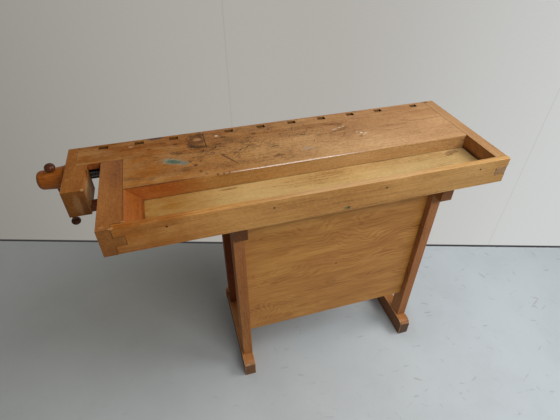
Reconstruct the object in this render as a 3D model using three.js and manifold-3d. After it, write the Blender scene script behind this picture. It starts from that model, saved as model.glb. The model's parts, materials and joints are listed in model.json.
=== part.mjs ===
// Woodworking bench with a sunken tool tray, a trestle base and a screw-driven tail vise.
// Millimetres, +Z up, standing on Z = 0. X runs along the bench, away from the vise.
// Y runs from the tray side to the dog-hole side, where the worker stands.
// Pieces are set out from the outer corner of the left end cap and the tray rail, and the
// finished bench is then centred on its footprint.
import * as THREE from 'three';
import { mergeVertices } from 'three/addons/utils/BufferGeometryUtils.js';
import loadSolids from 'manifold-3d';

// Fits: a glued or seated face, a sliding face, and how far a cutter runs past a face
const GAP = 0.3;
const SLIDE_GAP = 0.5;
const CUT = 2;

// Bench top
const BENCH_HEIGHT = 795;
const TOP_LENGTH = 1100;
const TOP_DEPTH = 395;
const EDGE_DEPTH = 79;
const SLAB_THICKNESS = 54;
const LEFT_CAP_WIDTH = 58;
const RIGHT_CAP_WIDTH = 36;
const SLAB_TONGUE_LENGTH = 10;
const SLAB_TONGUE_THICKNESS = 12;
const SLAB_TONGUE_DROP = 16;
const SLAB_TONGUE_INSET = 11;

// Tool tray along the near edge
const RAIL_THICKNESS = 18;
const TRAY_WIDTH = 131;
const TRAY_DEPTH = 44;
const TRAY_BOARD = 10;
const TRAY_HOUSING = 6;
const RAMP_LENGTH = 44;
const RAMP_LIP = 3;

// Finger joints at the corners of the tray rail
const FINGER_LENGTH = 26;
const CORNER_TONGUE_HEIGHT = 26;

// Dog holes in a notched strip that a face strip closes
const DOG_STRIP_DEPTH = 41;
const FACE_STRIP_DEPTH = 9;
const DOG_HOLE_LENGTH = 17;
const DOG_HOLE_DEPTH = 18;
const DOG_RECESS_LENGTH = 9;
const DOG_RECESS_DROP = 22;
const BENCH_DOG_COUNT = 6;
const BENCH_DOG_FIRST = 80;
const BENCH_DOG_PITCH = 101.5;
const BENCH_DOG_LAST_STEP = 134;
const VISE_DOG_COUNT = 3;
const VISE_DOG_FIRST = 86;
const VISE_DOG_PITCH = 100;

// Bolts that draw the end caps to the slab
const BOLT_RADIUS = 5;
const BOLT_HEAD_RADIUS = 9;
const BOLT_HEAD_HEIGHT = 8;
const BOLT_SINK = 2;
const BOLT_GRIP = 50;
const BOLT_DROP = 43;
const BOLT_INSET = 35;

// Tail vise: a long jaw with a hollow for the screw, and an L-shaped end block
const VISE_RECESS_LENGTH = 291;
const VISE_WIDTH = 101;
const VISE_OVERHANG = 92;
const JAW_GAP = 1.5;
const END_BLOCK_LENGTH = 56;
const END_BLOCK_CHEEK = 26;
const END_BLOCK_DEPTH = 221;
const COVER_THICKNESS = 17.5;
const JAW_HEAD_LENGTH = 56;
const JAW_TENON_LENGTH = 16;
const JAW_TENON_HEIGHT = 44;
const JAW_TENON_DEPTH = 16;
const GUIDE_DEPTH = 26;
const GUIDE_HEIGHT = 21;
const GUIDE_INSET = 6;
const GUIDE_RISE = 3;
const GUIDE_LENGTH = 296;
const GUIDE_SOCKET = 24;
const RUNNER_DEPTH = 14;
const RUNNER_HEIGHT = 9;
const RUNNER_START = 4;
const RUNNER_END_CLEARANCE = 3;

// Vise screw, its nut in a lug of the end cap, and its hub
const SCREW_RADIUS = 11;
const SCREW_DROP = 40;
const SCREW_STANDOFF = 19;
const SCREW_END_CLEARANCE = 21.5;
const LUG_LENGTH = 38;
const LUG_START = 10;
const LUG_DROP = 18.3;
const LUG_HEIGHT = 53;
const NUT_RADIUS = 15;
const NUT_FLANGE_RADIUS = 18.5;
const NUT_FLANGE_LENGTH = 6;
const COLLAR_RADIUS = 17;
const COLLAR_LENGTH = 9;
const HUB_LENGTH = 81;
const HUB_FOOT_RADIUS = 33;
const HUB_NOSE_RADIUS = 26.5;
const HUB_BEAD_LENGTH = 8;
const HUB_GROOVE_DEPTH = 1.5;
const HUB_ROUNDING = 13;
const HUB_SOCKET_DEPTH = 20;

// Tommy bar with a turned knob at each end, hanging by its upper knob
const BAR_RADIUS = 6.5;
const BAR_STATION = 38.5;
const BAR_TILT_DEGREES = 9;
const BAR_DROP = 181;
const BAR_BORE_GAP = 0.6;
const KNOB_RADIUS = 14;
const KNOB_HALF_HEIGHT = 10.4;
const KNOB_FLAT_RADIUS = 8;
const KNOB_SOCKET_DEPTH = 14;

// Trestle base: one trestle clears the recess of the vise, the other stands in from the right end
const TRESTLE_VISE_CLEARANCE = 18;
const TRESTLE_END_INSET = 173;
const POST_WIDTH = 32;
const POST_DEPTH = 50;
const POST_INSET = 56;
const POST_FAR_INSET = 45;
const BEARER_WIDTH = 37;
const BEARER_HEIGHT = 81;
const BEARER_OVERHANG = 34;
const FOOT_WIDTH = 38;
const FOOT_HEIGHT = 68;
const FOOT_OVERHANG = 42;
const FOOT_NOSE_RADIUS = 20;
const TENON_THICKNESS = 12;
const TENON_WIDTH = 34;
const TOP_TENON_LENGTH = 50;
const FOOT_TENON_LENGTH = 45;
const PIN_RADIUS = 10;
const PIN_INSET = 247;
const PIN_IN_BEARER = 30;
const PIN_IN_SLAB = 25;

// Panel between the near posts and stretcher between the far posts
const PANEL_THICKNESS = 8;
const PANEL_SETBACK = 22;
const PANEL_BOTTOM = 180;
const PANEL_HOUSING = 8;
const STRETCHER_DEPTH = 22;
const STRETCHER_HEIGHT = 48;
const STRETCHER_RISE = 4;
const STRETCHER_TENON_DEPTH = 14;
const STRETCHER_TENON_HEIGHT = 36;
const STRETCHER_TENON_PROUD = 13;
const PEG_RADIUS = 4;

// Facets round a turned piece, along a turned curve and along a sawn arc
const ROUND_SIDES = 24;
const CURVE_STEPS = 8;
const ARC_STEPS = 6;

// Corners of a mesh that are closer than this are one corner
const SAME_POINT = 1e-4;

// Levels and lines that several pieces share
const edgeBottom = BENCH_HEIGHT - EDGE_DEPTH;
const edgeRange = [edgeBottom, BENCH_HEIGHT];
const slabBottom = BENCH_HEIGHT - SLAB_THICKNESS;
const trayFloor = BENCH_HEIGHT - TRAY_DEPTH;
const trayUnderside = trayFloor - TRAY_BOARD;
const slabLeft = LEFT_CAP_WIDTH + GAP;
const rightCapFace = TOP_LENGTH - RIGHT_CAP_WIDTH;
const slabRight = rightCapFace - GAP;
const slabNear = RAIL_THICKNESS + TRAY_WIDTH;
const faceStripNear = TOP_DEPTH - FACE_STRIP_DEPTH;
const dogStripFar = faceStripNear - GAP;
const dogStripNear = dogStripFar - DOG_STRIP_DEPTH;
const slabFar = dogStripNear - GAP;
const recessFar = TOP_DEPTH - VISE_WIDTH;
const viseNear = recessFar + SLIDE_GAP;
const jawFace = VISE_RECESS_LENGTH - JAW_GAP;
const blockOuter = -VISE_OVERHANG;
const blockInner = blockOuter + END_BLOCK_LENGTH;
const cheekInner = blockOuter + END_BLOCK_CHEEK;
const blockNear = TOP_DEPTH - END_BLOCK_DEPTH;
const legStart = cheekInner + GAP;
const coverBottom = BENCH_HEIGHT - COVER_THICKNESS;
const screwY = recessFar + SCREW_STANDOFF;
const screwZ = BENCH_HEIGHT - SCREW_DROP;
const hubFoot = blockOuter - SLIDE_GAP;
const hubNose = hubFoot - HUB_LENGTH;
const cornerTongue = [
  edgeBottom + (EDGE_DEPTH - CORNER_TONGUE_HEIGHT) / 2,
  edgeBottom + (EDGE_DEPTH + CORNER_TONGUE_HEIGHT) / 2,
];
const bearerTop = Math.min(slabBottom, trayUnderside) - GAP;
const bearerBottom = bearerTop - BEARER_HEIGHT;
const farPostNear = TOP_DEPTH - POST_FAR_INSET - POST_DEPTH;
const trestleStarts = {
  left: VISE_RECESS_LENGTH + TRESTLE_VISE_CLEARANCE,
  right: TOP_LENGTH - TRESTLE_END_INSET,
};

// Finishes
const finishes = {
  top: { color: 0xb07c45, roughness: 0.45, metalness: 0 },
  edge: { color: 0xa2733c, roughness: 0.5, metalness: 0 },
  tray: { color: 0xbd9156, roughness: 0.55, metalness: 0 },
  base: { color: 0x8e5a31, roughness: 0.55, metalness: 0 },
  panel: { color: 0x9a6836, roughness: 0.5, metalness: 0 },
  hub: { color: 0xa0672f, roughness: 0.4, metalness: 0 },
  knob: { color: 0x45211a, roughness: 0.35, metalness: 0 },
  steel: { color: 0x4a4643, roughness: 0.45, metalness: 0.9 },
};

const solids = await loadSolids();
solids.setup();

// Turns a closed geometry into a solid that can be cut and joined
function toSolid(geometry) {
  geometry.deleteAttribute('normal');
  geometry.deleteAttribute('uv');
  const merged = mergeVertices(geometry, SAME_POINT);
  const mesh = new solids.Mesh({
    numProp: 3,
    vertProperties: new Float32Array(merged.attributes.position.array),
    triVerts: new Uint32Array(merged.index.array),
  });
  return new solids.Manifold(mesh);
}

function toGeometry(solid) {
  const mesh = solid.getMesh();
  const geometry = new THREE.BufferGeometry();
  geometry.setAttribute('position', new THREE.BufferAttribute(mesh.vertProperties, 3));
  geometry.setIndex(new THREE.BufferAttribute(mesh.triVerts, 1));
  geometry.computeVertexNormals();
  return geometry;
}

// A board or a square cut, given by its range along each axis
function block([x0, x1], [y0, y1], [z0, z1]) {
  const geometry = new THREE.BoxGeometry(x1 - x0, y1 - y0, z1 - z0);
  geometry.translate((x0 + x1) / 2, (y0 + y1) / 2, (z0 + z1) / 2);
  return toSolid(geometry);
}

// Round rods and bores along one axis through a given point of the other two
function rodX(radius, [x0, x1], y, z) {
  const geometry = new THREE.CylinderGeometry(radius, radius, x1 - x0, ROUND_SIDES);
  geometry.rotateZ(Math.PI / 2).translate((x0 + x1) / 2, y, z);
  return toSolid(geometry);
}

function rodY(radius, [y0, y1], x, z) {
  const geometry = new THREE.CylinderGeometry(radius, radius, y1 - y0, ROUND_SIDES);
  geometry.translate(x, (y0 + y1) / 2, z);
  return toSolid(geometry);
}

function rodZ(radius, [z0, z1], x, y) {
  const geometry = new THREE.CylinderGeometry(radius, radius, z1 - z0, ROUND_SIDES);
  geometry.rotateX(Math.PI / 2).translate(x, y, (z0 + z1) / 2);
  return toSolid(geometry);
}

function outline(points) {
  return new THREE.Shape(points.map(([u, v]) => new THREE.Vector2(u, v)));
}

function extrude(shape, length) {
  return new THREE.ExtrudeGeometry(shape, { depth: length, bevelEnabled: false, curveSegments: ARC_STEPS });
}

// A plan outline raised over a height range, a YZ profile run along X, and an XZ profile along Y
function fromPlan(shape, [z0, z1]) {
  return toSolid(extrude(shape, z1 - z0).translate(0, 0, z0));
}

function alongX(shape, [x0, x1]) {
  const turn = new THREE.Matrix4().makeBasis(
    new THREE.Vector3(0, 1, 0),
    new THREE.Vector3(0, 0, 1),
    new THREE.Vector3(1, 0, 0),
  );
  return toSolid(extrude(shape, x1 - x0).applyMatrix4(turn).translate(x0, 0, 0));
}

function alongY(shape, [y0, y1]) {
  return toSolid(extrude(shape, y1 - y0).rotateX(Math.PI / 2).translate(0, y1, 0));
}

// A turned form about the X axis: each profile point is a radius and a distance towards -X
function turnedX(points) {
  const profile = points.map(([radius, along]) => new THREE.Vector2(radius, along));
  return toSolid(new THREE.LatheGeometry(profile, ROUND_SIDES).rotateZ(Math.PI / 2));
}

function turnedZ(points) {
  const profile = points.map(([radius, along]) => new THREE.Vector2(radius, along));
  return toSolid(new THREE.LatheGeometry(profile, ROUND_SIDES).rotateX(Math.PI / 2));
}

function grown([low, high], margin) {
  return [low - margin, high + margin];
}

function addPiece(parent, name, finish, solid) {
  const mesh = new THREE.Mesh(toGeometry(solid), new THREE.MeshStandardMaterial(finishes[finish]));
  mesh.name = name;
  parent.add(mesh);
  return mesh;
}

const bench = new THREE.Group();
bench.position.set(-(TOP_LENGTH + hubNose) / 2, -TOP_DEPTH / 2, 0);

// Cap bolts, one pair at each end of the slab
const boltZ = BENCH_HEIGHT - BOLT_DROP;
const boltRows = {
  left: [slabNear + BOLT_INSET, recessFar - BOLT_INSET],
  right: [slabNear + BOLT_INSET, slabFar - BOLT_INSET],
};

// A bolt in its row, or with a margin the counterbored hole that takes it
function capBolt(side, y, margin) {
  const inward = side === 'left' ? 1 : -1;
  const capOuter = side === 'left' ? 0 : TOP_LENGTH;
  const capInner = side === 'left' ? LEFT_CAP_WIDTH : rightCapFace;
  const headOuter = capOuter + inward * (margin > 0 ? -CUT : BOLT_SINK);
  const headInner = capOuter + inward * (BOLT_SINK + BOLT_HEAD_HEIGHT + margin);
  const tip = capInner + inward * (BOLT_GRIP + margin);
  const span = (a, b) => [Math.min(a, b), Math.max(a, b)];
  const head = rodX(BOLT_HEAD_RADIUS + margin, span(headOuter, headInner), y, boltZ);
  return head.add(rodX(BOLT_RADIUS + margin, span(headOuter, tip), y, boltZ));
}

function cutBoltHoles(solid, side) {
  return boltRows[side].reduce((cut, y) => cut.subtract(capBolt(side, y, GAP)), solid);
}

// Slab: notched at the far left for the vise, rabbeted for the tray board, tongued into the caps
const tongueTop = BENCH_HEIGHT - SLAB_TONGUE_DROP;
const tongueRange = [tongueTop - SLAB_TONGUE_THICKNESS, tongueTop];
const tongueRows = {
  left: [slabNear + SLAB_TONGUE_INSET, recessFar - SLAB_TONGUE_INSET],
  right: [slabNear + SLAB_TONGUE_INSET, slabFar - SLAB_TONGUE_INSET],
};
const leftTongueEnd = slabLeft - SLAB_TONGUE_LENGTH;
const rightTongueEnd = slabRight + SLAB_TONGUE_LENGTH;
const trayHousingFar = slabNear + TRAY_HOUSING;

function slab() {
  const plan = outline([
    [slabLeft, slabNear],
    [slabRight, slabNear],
    [slabRight, slabFar],
    [VISE_RECESS_LENGTH, slabFar],
    [VISE_RECESS_LENGTH, recessFar],
    [slabLeft, recessFar],
  ]);
  let solid = fromPlan(plan, [slabBottom, BENCH_HEIGHT])
    .add(block([leftTongueEnd, slabLeft + CUT], tongueRows.left, tongueRange))
    .add(block([slabRight - CUT, rightTongueEnd], tongueRows.right, tongueRange));
  const rabbet = [Math.min(slabBottom, trayUnderside) - CUT, trayFloor + GAP];
  const rabbetX = grown([slabLeft, slabRight], CUT);
  solid = solid.subtract(block(rabbetX, [slabNear - CUT, trayHousingFar], rabbet));
  for (const x of Object.values(trestleStarts)) {
    const socket = [slabBottom - CUT, slabBottom + PIN_IN_SLAB + GAP];
    solid = solid.subtract(rodZ(PIN_RADIUS + GAP, socket, x + BEARER_WIDTH / 2, PIN_INSET));
  }
  return cutBoltHoles(cutBoltHoles(solid, 'left'), 'right');
}
addPiece(bench, 'top_slab', 'top', slab());
for (const [side, rows] of Object.entries(boltRows)) {
  rows.forEach((y, i) => addPiece(bench, `${side}_cap_bolt_${i + 1}`, 'steel', capBolt(side, y, 0)));
}

// Dog strips: a through hole with a shallow recess on its vise side for the head of the dog
function cutDogHoles(strip, stations) {
  const reach = [dogStripFar - DOG_HOLE_DEPTH, dogStripFar + CUT];
  return stations.reduce((cut, x) => {
    const start = x - (DOG_HOLE_LENGTH + DOG_RECESS_LENGTH) / 2;
    const hole = start + DOG_RECESS_LENGTH;
    const drop = [BENCH_HEIGHT - DOG_RECESS_DROP, BENCH_HEIGHT + CUT];
    return cut
      .subtract(block([hole, hole + DOG_HOLE_LENGTH], reach, grown(edgeRange, CUT)))
      .subtract(block([start, hole + CUT], reach, drop));
  }, strip);
}

const benchDogs = Array.from(
  { length: BENCH_DOG_COUNT },
  (_, i) => VISE_RECESS_LENGTH + BENCH_DOG_FIRST + i * BENCH_DOG_PITCH,
);
benchDogs.push(benchDogs[BENCH_DOG_COUNT - 1] + BENCH_DOG_LAST_STEP);
const dogStripX = [VISE_RECESS_LENGTH, slabRight];
const dogStrip = block(dogStripX, [dogStripNear, dogStripFar], edgeRange);
addPiece(bench, 'dog_strip', 'top', cutDogHoles(dogStrip, benchDogs));
addPiece(bench, 'dog_strip_face', 'top', block(dogStripX, [faceStripNear, TOP_DEPTH], edgeRange));

// Tray rail, with fingers that lap the end caps at both corners
function railFingers(x) {
  const low = block(x, [0, RAIL_THICKNESS], [edgeBottom, cornerTongue[0] - GAP]);
  return low.add(block(x, [0, RAIL_THICKNESS], [cornerTongue[1] + GAP, BENCH_HEIGHT]));
}

const leftFingerEnd = LEFT_CAP_WIDTH - FINGER_LENGTH;
const railX = [LEFT_CAP_WIDTH + GAP, rightCapFace - GAP];
const rail = block(railX, [0, RAIL_THICKNESS], edgeRange)
  .add(railFingers([leftFingerEnd + GAP, railX[0] + CUT]))
  .add(railFingers([railX[1] - CUT, TOP_LENGTH]))
  .subtract(block(railX, [RAIL_THICKNESS - TRAY_HOUSING, RAIL_THICKNESS + CUT], [
    trayUnderside - GAP,
    trayFloor + GAP,
  ]));
addPiece(bench, 'tray_rail', 'edge', rail);

// End caps: the corner tongues run out to the near face between the fingers of the rail
function fingerNotches(x) {
  const y = [-CUT, RAIL_THICKNESS + GAP];
  const low = block(x, y, [edgeBottom - CUT, cornerTongue[0]]);
  return low.add(block(x, y, [cornerTongue[1], BENCH_HEIGHT + CUT]));
}

const guideY = [blockNear + GUIDE_INSET, blockNear + GUIDE_INSET + GUIDE_DEPTH];
const guideZ = [edgeBottom + GUIDE_RISE, edgeBottom + GUIDE_RISE + GUIDE_HEIGHT];
const lugX = [LUG_START, LUG_START + LUG_LENGTH];
const lugFar = dogStripNear - 2 * SLIDE_GAP;
const lugTop = BENCH_HEIGHT - LUG_DROP;

function leftEndCap() {
  const lug = block(lugX, [recessFar - CUT, lugFar], [lugTop - LUG_HEIGHT, lugTop]);
  const groove = block(
    [leftTongueEnd - GAP, LEFT_CAP_WIDTH + CUT],
    grown(tongueRows.left, GAP),
    grown(tongueRange, GAP),
  );
  const cap = block([0, LEFT_CAP_WIDTH], [0, recessFar], edgeRange)
    .add(lug)
    .subtract(fingerNotches([leftFingerEnd, LEFT_CAP_WIDTH + CUT]))
    .subtract(groove)
    .subtract(block([-CUT, LEFT_CAP_WIDTH + CUT], grown(guideY, SLIDE_GAP), grown(guideZ, SLIDE_GAP)))
    .subtract(rodX(NUT_RADIUS + GAP, grown(lugX, CUT), screwY, screwZ));
  return cutBoltHoles(cap, 'left');
}
addPiece(bench, 'left_end_cap', 'edge', leftEndCap());

function rightEndCap() {
  const groove = block(
    [rightCapFace - CUT, rightTongueEnd + GAP],
    grown(tongueRows.right, GAP),
    grown(tongueRange, GAP),
  );
  const cap = block([rightCapFace, TOP_LENGTH], [0, TOP_DEPTH], edgeRange)
    .subtract(fingerNotches([rightCapFace - CUT, TOP_LENGTH + CUT]))
    .subtract(groove);
  return cutBoltHoles(cap, 'right');
}
addPiece(bench, 'right_end_cap', 'edge', rightEndCap());

// Tray board, housed in the rail and the slab, and the sweeping-out ramp at its vise end
const trayY = [RAIL_THICKNESS - TRAY_HOUSING + GAP, trayHousingFar - GAP];
addPiece(bench, 'tray_bottom', 'tray', block([slabLeft, slabRight], trayY, [trayUnderside, trayFloor]));

const rampProfile = outline([
  [slabLeft, trayFloor + GAP],
  [slabLeft + RAMP_LENGTH, trayFloor + GAP],
  [slabLeft + RAMP_LENGTH, trayFloor + RAMP_LIP],
  [slabLeft + RAMP_LIP, BENCH_HEIGHT],
  [slabLeft, BENCH_HEIGHT],
]);
addPiece(bench, 'tray_ramp', 'tray', alongY(rampProfile, [RAIL_THICKNESS + GAP, slabNear - GAP]));

// Nut sleeve in the lug of the left end cap, with its flange drawn against the lug
const nutBore = SCREW_RADIUS + SLIDE_GAP;
const nut = rodX(NUT_RADIUS, [lugX[0], lugX[1] + GAP + CUT], screwY, screwZ)
  .add(rodX(NUT_FLANGE_RADIUS, [lugX[1] + GAP, lugX[1] + GAP + NUT_FLANGE_LENGTH], screwY, screwZ))
  .subtract(rodX(nutBore, grown([lugX[0], lugX[1] + NUT_FLANGE_LENGTH], CUT), screwY, screwZ));
addPiece(bench, 'vise_nut', 'steel', nut);

// Runner on the edge of the slab, which carries the cover plate of the vise
const runnerX = [LEFT_CAP_WIDTH + RUNNER_START, VISE_RECESS_LENGTH - RUNNER_END_CLEARANCE];
const runnerY = [recessFar + GAP, recessFar + GAP + RUNNER_DEPTH];
const runnerZ = [coverBottom - SLIDE_GAP - RUNNER_HEIGHT, coverBottom - SLIDE_GAP];
addPiece(bench, 'vise_runner', 'base', block(runnerX, runnerY, runnerZ));

// Trestles: two posts tenoned into a foot and a bearer. The bearer is flush with the posts on
// its left side and the foot on its right side. Each trestle is drawn from its left post face.
const postRows = { near: POST_INSET, far: farPostNear };
const tenonX = [(POST_WIDTH - TENON_THICKNESS) / 2, (POST_WIDTH + TENON_THICKNESS) / 2];
const panelNear = POST_INSET + PANEL_SETBACK;
const panelTop = bearerBottom - GAP;
const stretcherMidY = farPostNear + POST_DEPTH / 2;
const stretcherBottom = FOOT_HEIGHT + STRETCHER_RISE;
const stretcherMidZ = stretcherBottom + STRETCHER_HEIGHT / 2;
const stretcherTenonY = [
  stretcherMidY - STRETCHER_TENON_DEPTH / 2,
  stretcherMidY + STRETCHER_TENON_DEPTH / 2,
];
const stretcherTenonZ = [
  stretcherMidZ - STRETCHER_TENON_HEIGHT / 2,
  stretcherMidZ + STRETCHER_TENON_HEIGHT / 2,
];
const pegY = [farPostNear, farPostNear + POST_DEPTH];

function tenonY(postNear) {
  const middle = postNear + POST_DEPTH / 2;
  return [middle - TENON_WIDTH / 2, middle + TENON_WIDTH / 2];
}

function post(row, side) {
  const near = postRows[row];
  const shoulders = [FOOT_HEIGHT + GAP, bearerBottom - GAP];
  const tenonZ = [FOOT_HEIGHT - FOOT_TENON_LENGTH, bearerBottom + TOP_TENON_LENGTH];
  const solid = block([0, POST_WIDTH], [near, near + POST_DEPTH], shoulders)
    .add(block(tenonX, tenonY(near), tenonZ));
  if (row === 'near') {
    const inner = side === 'left' ? POST_WIDTH : 0;
    return solid.subtract(block(
      grown([inner, inner], PANEL_HOUSING),
      grown([panelNear, panelNear + PANEL_THICKNESS], GAP),
      [PANEL_BOTTOM - GAP, bearerBottom - GAP + CUT],
    ));
  }
  return solid
    .subtract(block([-CUT, POST_WIDTH + CUT], grown(stretcherTenonY, GAP), grown(stretcherTenonZ, GAP)))
    .subtract(rodY(PEG_RADIUS + GAP, grown(pegY, CUT), POST_WIDTH / 2, stretcherMidZ));
}

function mortises(solid, z) {
  return Object.values(postRows).reduce(
    (cut, near) => cut.subtract(block(grown(tenonX, GAP), grown(tenonY(near), GAP), z)),
    solid,
  );
}

function foot() {
  const start = POST_INSET - FOOT_OVERHANG;
  const end = farPostNear + POST_DEPTH + FOOT_OVERHANG;
  const shoulder = FOOT_HEIGHT - FOOT_NOSE_RADIUS;
  const shape = new THREE.Shape();
  shape.moveTo(start, 0);
  shape.lineTo(end, 0);
  shape.lineTo(end, shoulder);
  shape.absarc(end - FOOT_NOSE_RADIUS, shoulder, FOOT_NOSE_RADIUS, 0, Math.PI / 2, false);
  shape.lineTo(start + FOOT_NOSE_RADIUS, FOOT_HEIGHT);
  shape.absarc(start + FOOT_NOSE_RADIUS, shoulder, FOOT_NOSE_RADIUS, Math.PI / 2, Math.PI, false);
  shape.closePath();
  const solid = alongX(shape, [POST_WIDTH - FOOT_WIDTH, POST_WIDTH]);
  return mortises(solid, [FOOT_HEIGHT - FOOT_TENON_LENGTH - GAP, FOOT_HEIGHT + CUT]);
}

function bearer() {
  const start = POST_INSET - BEARER_OVERHANG;
  const end = farPostNear + POST_DEPTH + BEARER_OVERHANG;
  const ledge = Math.min(bearerTop, edgeBottom - GAP);
  const profile = outline([
    [start, bearerBottom],
    [end, bearerBottom],
    [end, ledge],
    [slabFar, ledge],
    [slabFar, bearerTop],
    [start, bearerTop],
  ]);
  const socket = [bearerTop - PIN_IN_BEARER - GAP, bearerTop + CUT];
  const solid = alongX(profile, [0, BEARER_WIDTH])
    .subtract(rodZ(PIN_RADIUS + GAP, socket, BEARER_WIDTH / 2, PIN_INSET));
  return mortises(solid, [bearerBottom - CUT, bearerBottom + TOP_TENON_LENGTH + GAP]);
}

// The pin stands up from the bearer and locates the top. The peg locks the stretcher's tenon.
const pinZ = [bearerTop - PIN_IN_BEARER, slabBottom + PIN_IN_SLAB];
for (const [side, x] of Object.entries(trestleStarts)) {
  const trestle = new THREE.Group();
  trestle.position.x = x;
  bench.add(trestle);
  addPiece(trestle, `${side}_foot`, 'base', foot());
  addPiece(trestle, `${side}_bearer`, 'base', bearer());
  addPiece(trestle, `${side}_near_post`, 'base', post('near', side));
  addPiece(trestle, `${side}_far_post`, 'base', post('far', side));
  addPiece(trestle, `${side}_locating_pin`, 'base', rodZ(PIN_RADIUS, pinZ, BEARER_WIDTH / 2, PIN_INSET));
  addPiece(trestle, `${side}_stretcher_peg`, 'hub', rodY(PEG_RADIUS, pegY, POST_WIDTH / 2, stretcherMidZ));
}

// Back panel, housed in the near posts
const innerLeft = trestleStarts.left + POST_WIDTH;
const innerRight = trestleStarts.right;
const panel = block(
  grown([innerLeft, innerRight], PANEL_HOUSING - GAP),
  [panelNear, panelNear + PANEL_THICKNESS],
  [PANEL_BOTTOM, panelTop],
);
addPiece(bench, 'back_panel', 'panel', panel);

// Far stretcher: its tenons run through the far posts and stand proud
function stretcher() {
  const outer = [trestleStarts.left, trestleStarts.right + POST_WIDTH];
  const y = [stretcherMidY - STRETCHER_DEPTH / 2, stretcherMidY + STRETCHER_DEPTH / 2];
  const rise = [stretcherBottom, stretcherBottom + STRETCHER_HEIGHT];
  const solid = block(grown([innerLeft, innerRight], -GAP), y, rise)
    .add(block(grown(outer, STRETCHER_TENON_PROUD), stretcherTenonY, stretcherTenonZ));
  return Object.values(trestleStarts).reduce((cut, x) => {
    const pegHole = rodY(PEG_RADIUS + GAP, grown(pegY, CUT), x + POST_WIDTH / 2, stretcherMidZ);
    return cut.subtract(pegHole);
  }, solid);
}
addPiece(bench, 'far_stretcher', 'base', stretcher());

// Tail vise, drawn closed. The jaw strip is tenoned into the cheek of the end block.
const jawTenonY = [
  dogStripNear + (DOG_STRIP_DEPTH - JAW_TENON_DEPTH) / 2,
  dogStripNear + (DOG_STRIP_DEPTH + JAW_TENON_DEPTH) / 2,
];
const jawTenonZ = [
  edgeBottom + (EDGE_DEPTH - JAW_TENON_HEIGHT) / 2,
  edgeBottom + (EDGE_DEPTH + JAW_TENON_HEIGHT) / 2,
];
const legX = [legStart, jawFace];
const viseDogs = Array.from(
  { length: VISE_DOG_COUNT },
  (_, i) => jawFace - VISE_DOG_FIRST - i * VISE_DOG_PITCH,
);
const jawStrip = block(legX, [dogStripNear, dogStripFar], edgeRange)
  .add(block([cheekInner - JAW_TENON_LENGTH, legStart + CUT], jawTenonY, jawTenonZ));
addPiece(bench, 'vise_jaw_strip', 'top', cutDogHoles(jawStrip, viseDogs));
addPiece(bench, 'vise_jaw_face', 'top', block(legX, [faceStripNear, TOP_DEPTH], edgeRange));
addPiece(bench, 'vise_cover_plate', 'top', block(legX, [viseNear, slabFar], [coverBottom, BENCH_HEIGHT]));

const jawHead = block([jawFace - JAW_HEAD_LENGTH, jawFace], [viseNear, slabFar], [
  edgeBottom,
  coverBottom - GAP,
]).subtract(block(
  grown([jawFace - JAW_HEAD_LENGTH, jawFace], CUT),
  [viseNear - CUT, runnerY[1] + SLIDE_GAP],
  [runnerZ[0] - SLIDE_GAP, coverBottom + CUT],
));
addPiece(bench, 'vise_jaw_head', 'edge', jawHead);

const guideX = [blockInner - GUIDE_SOCKET, blockInner - GUIDE_SOCKET + GUIDE_LENGTH];
addPiece(bench, 'vise_guide_bar', 'base', block(guideX, guideY, guideZ));

function endBlock() {
  const plan = outline([
    [blockOuter, blockNear],
    [blockInner, blockNear],
    [blockInner, recessFar],
    [cheekInner, recessFar],
    [cheekInner, TOP_DEPTH],
    [blockOuter, TOP_DEPTH],
  ]);
  const jawMortise = block(
    [cheekInner - JAW_TENON_LENGTH - GAP, cheekInner + CUT],
    grown(jawTenonY, GAP),
    grown(jawTenonZ, GAP),
  );
  return fromPlan(plan, edgeRange)
    .subtract(jawMortise)
    .subtract(block([guideX[0] - GAP, blockInner + CUT], grown(guideY, GAP), grown(guideZ, GAP)))
    .subtract(rodX(SCREW_RADIUS + SLIDE_GAP, [blockOuter - CUT, cheekInner + CUT], screwY, screwZ));
}
addPiece(bench, 'vise_end_block', 'edge', endBlock());

// Screw group: turned pieces about the screw axis, with the bar along the tilted Z of the group
const screwGroup = new THREE.Group();
screwGroup.position.set(0, screwY, screwZ);
screwGroup.rotation.x = THREE.MathUtils.degToRad(BAR_TILT_DEGREES);
bench.add(screwGroup);

const screwEnd = jawFace - JAW_HEAD_LENGTH - SCREW_END_CLEARANCE;
const screwX = [hubFoot - HUB_SOCKET_DEPTH + GAP, screwEnd];
addPiece(screwGroup, 'vise_screw', 'steel', rodX(SCREW_RADIUS, screwX, 0, 0));

const collarX = [cheekInner + GAP, cheekInner + GAP + COLLAR_LENGTH];
const collar = rodX(COLLAR_RADIUS, collarX, 0, 0)
  .subtract(rodX(SCREW_RADIUS + GAP, grown(collarX, CUT), 0, 0));
addPiece(screwGroup, 'screw_collar', 'steel', collar);

// Hub: a bead against the end block, a taper and a rounded nose
const barX = hubFoot - BAR_STATION;
const hubTaper = (HUB_FOOT_RADIUS - HUB_NOSE_RADIUS) / (HUB_LENGTH - HUB_ROUNDING - HUB_BEAD_LENGTH);
const hubRadiusAt = (station) => HUB_FOOT_RADIUS - hubTaper * (station - HUB_BEAD_LENGTH);

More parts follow.
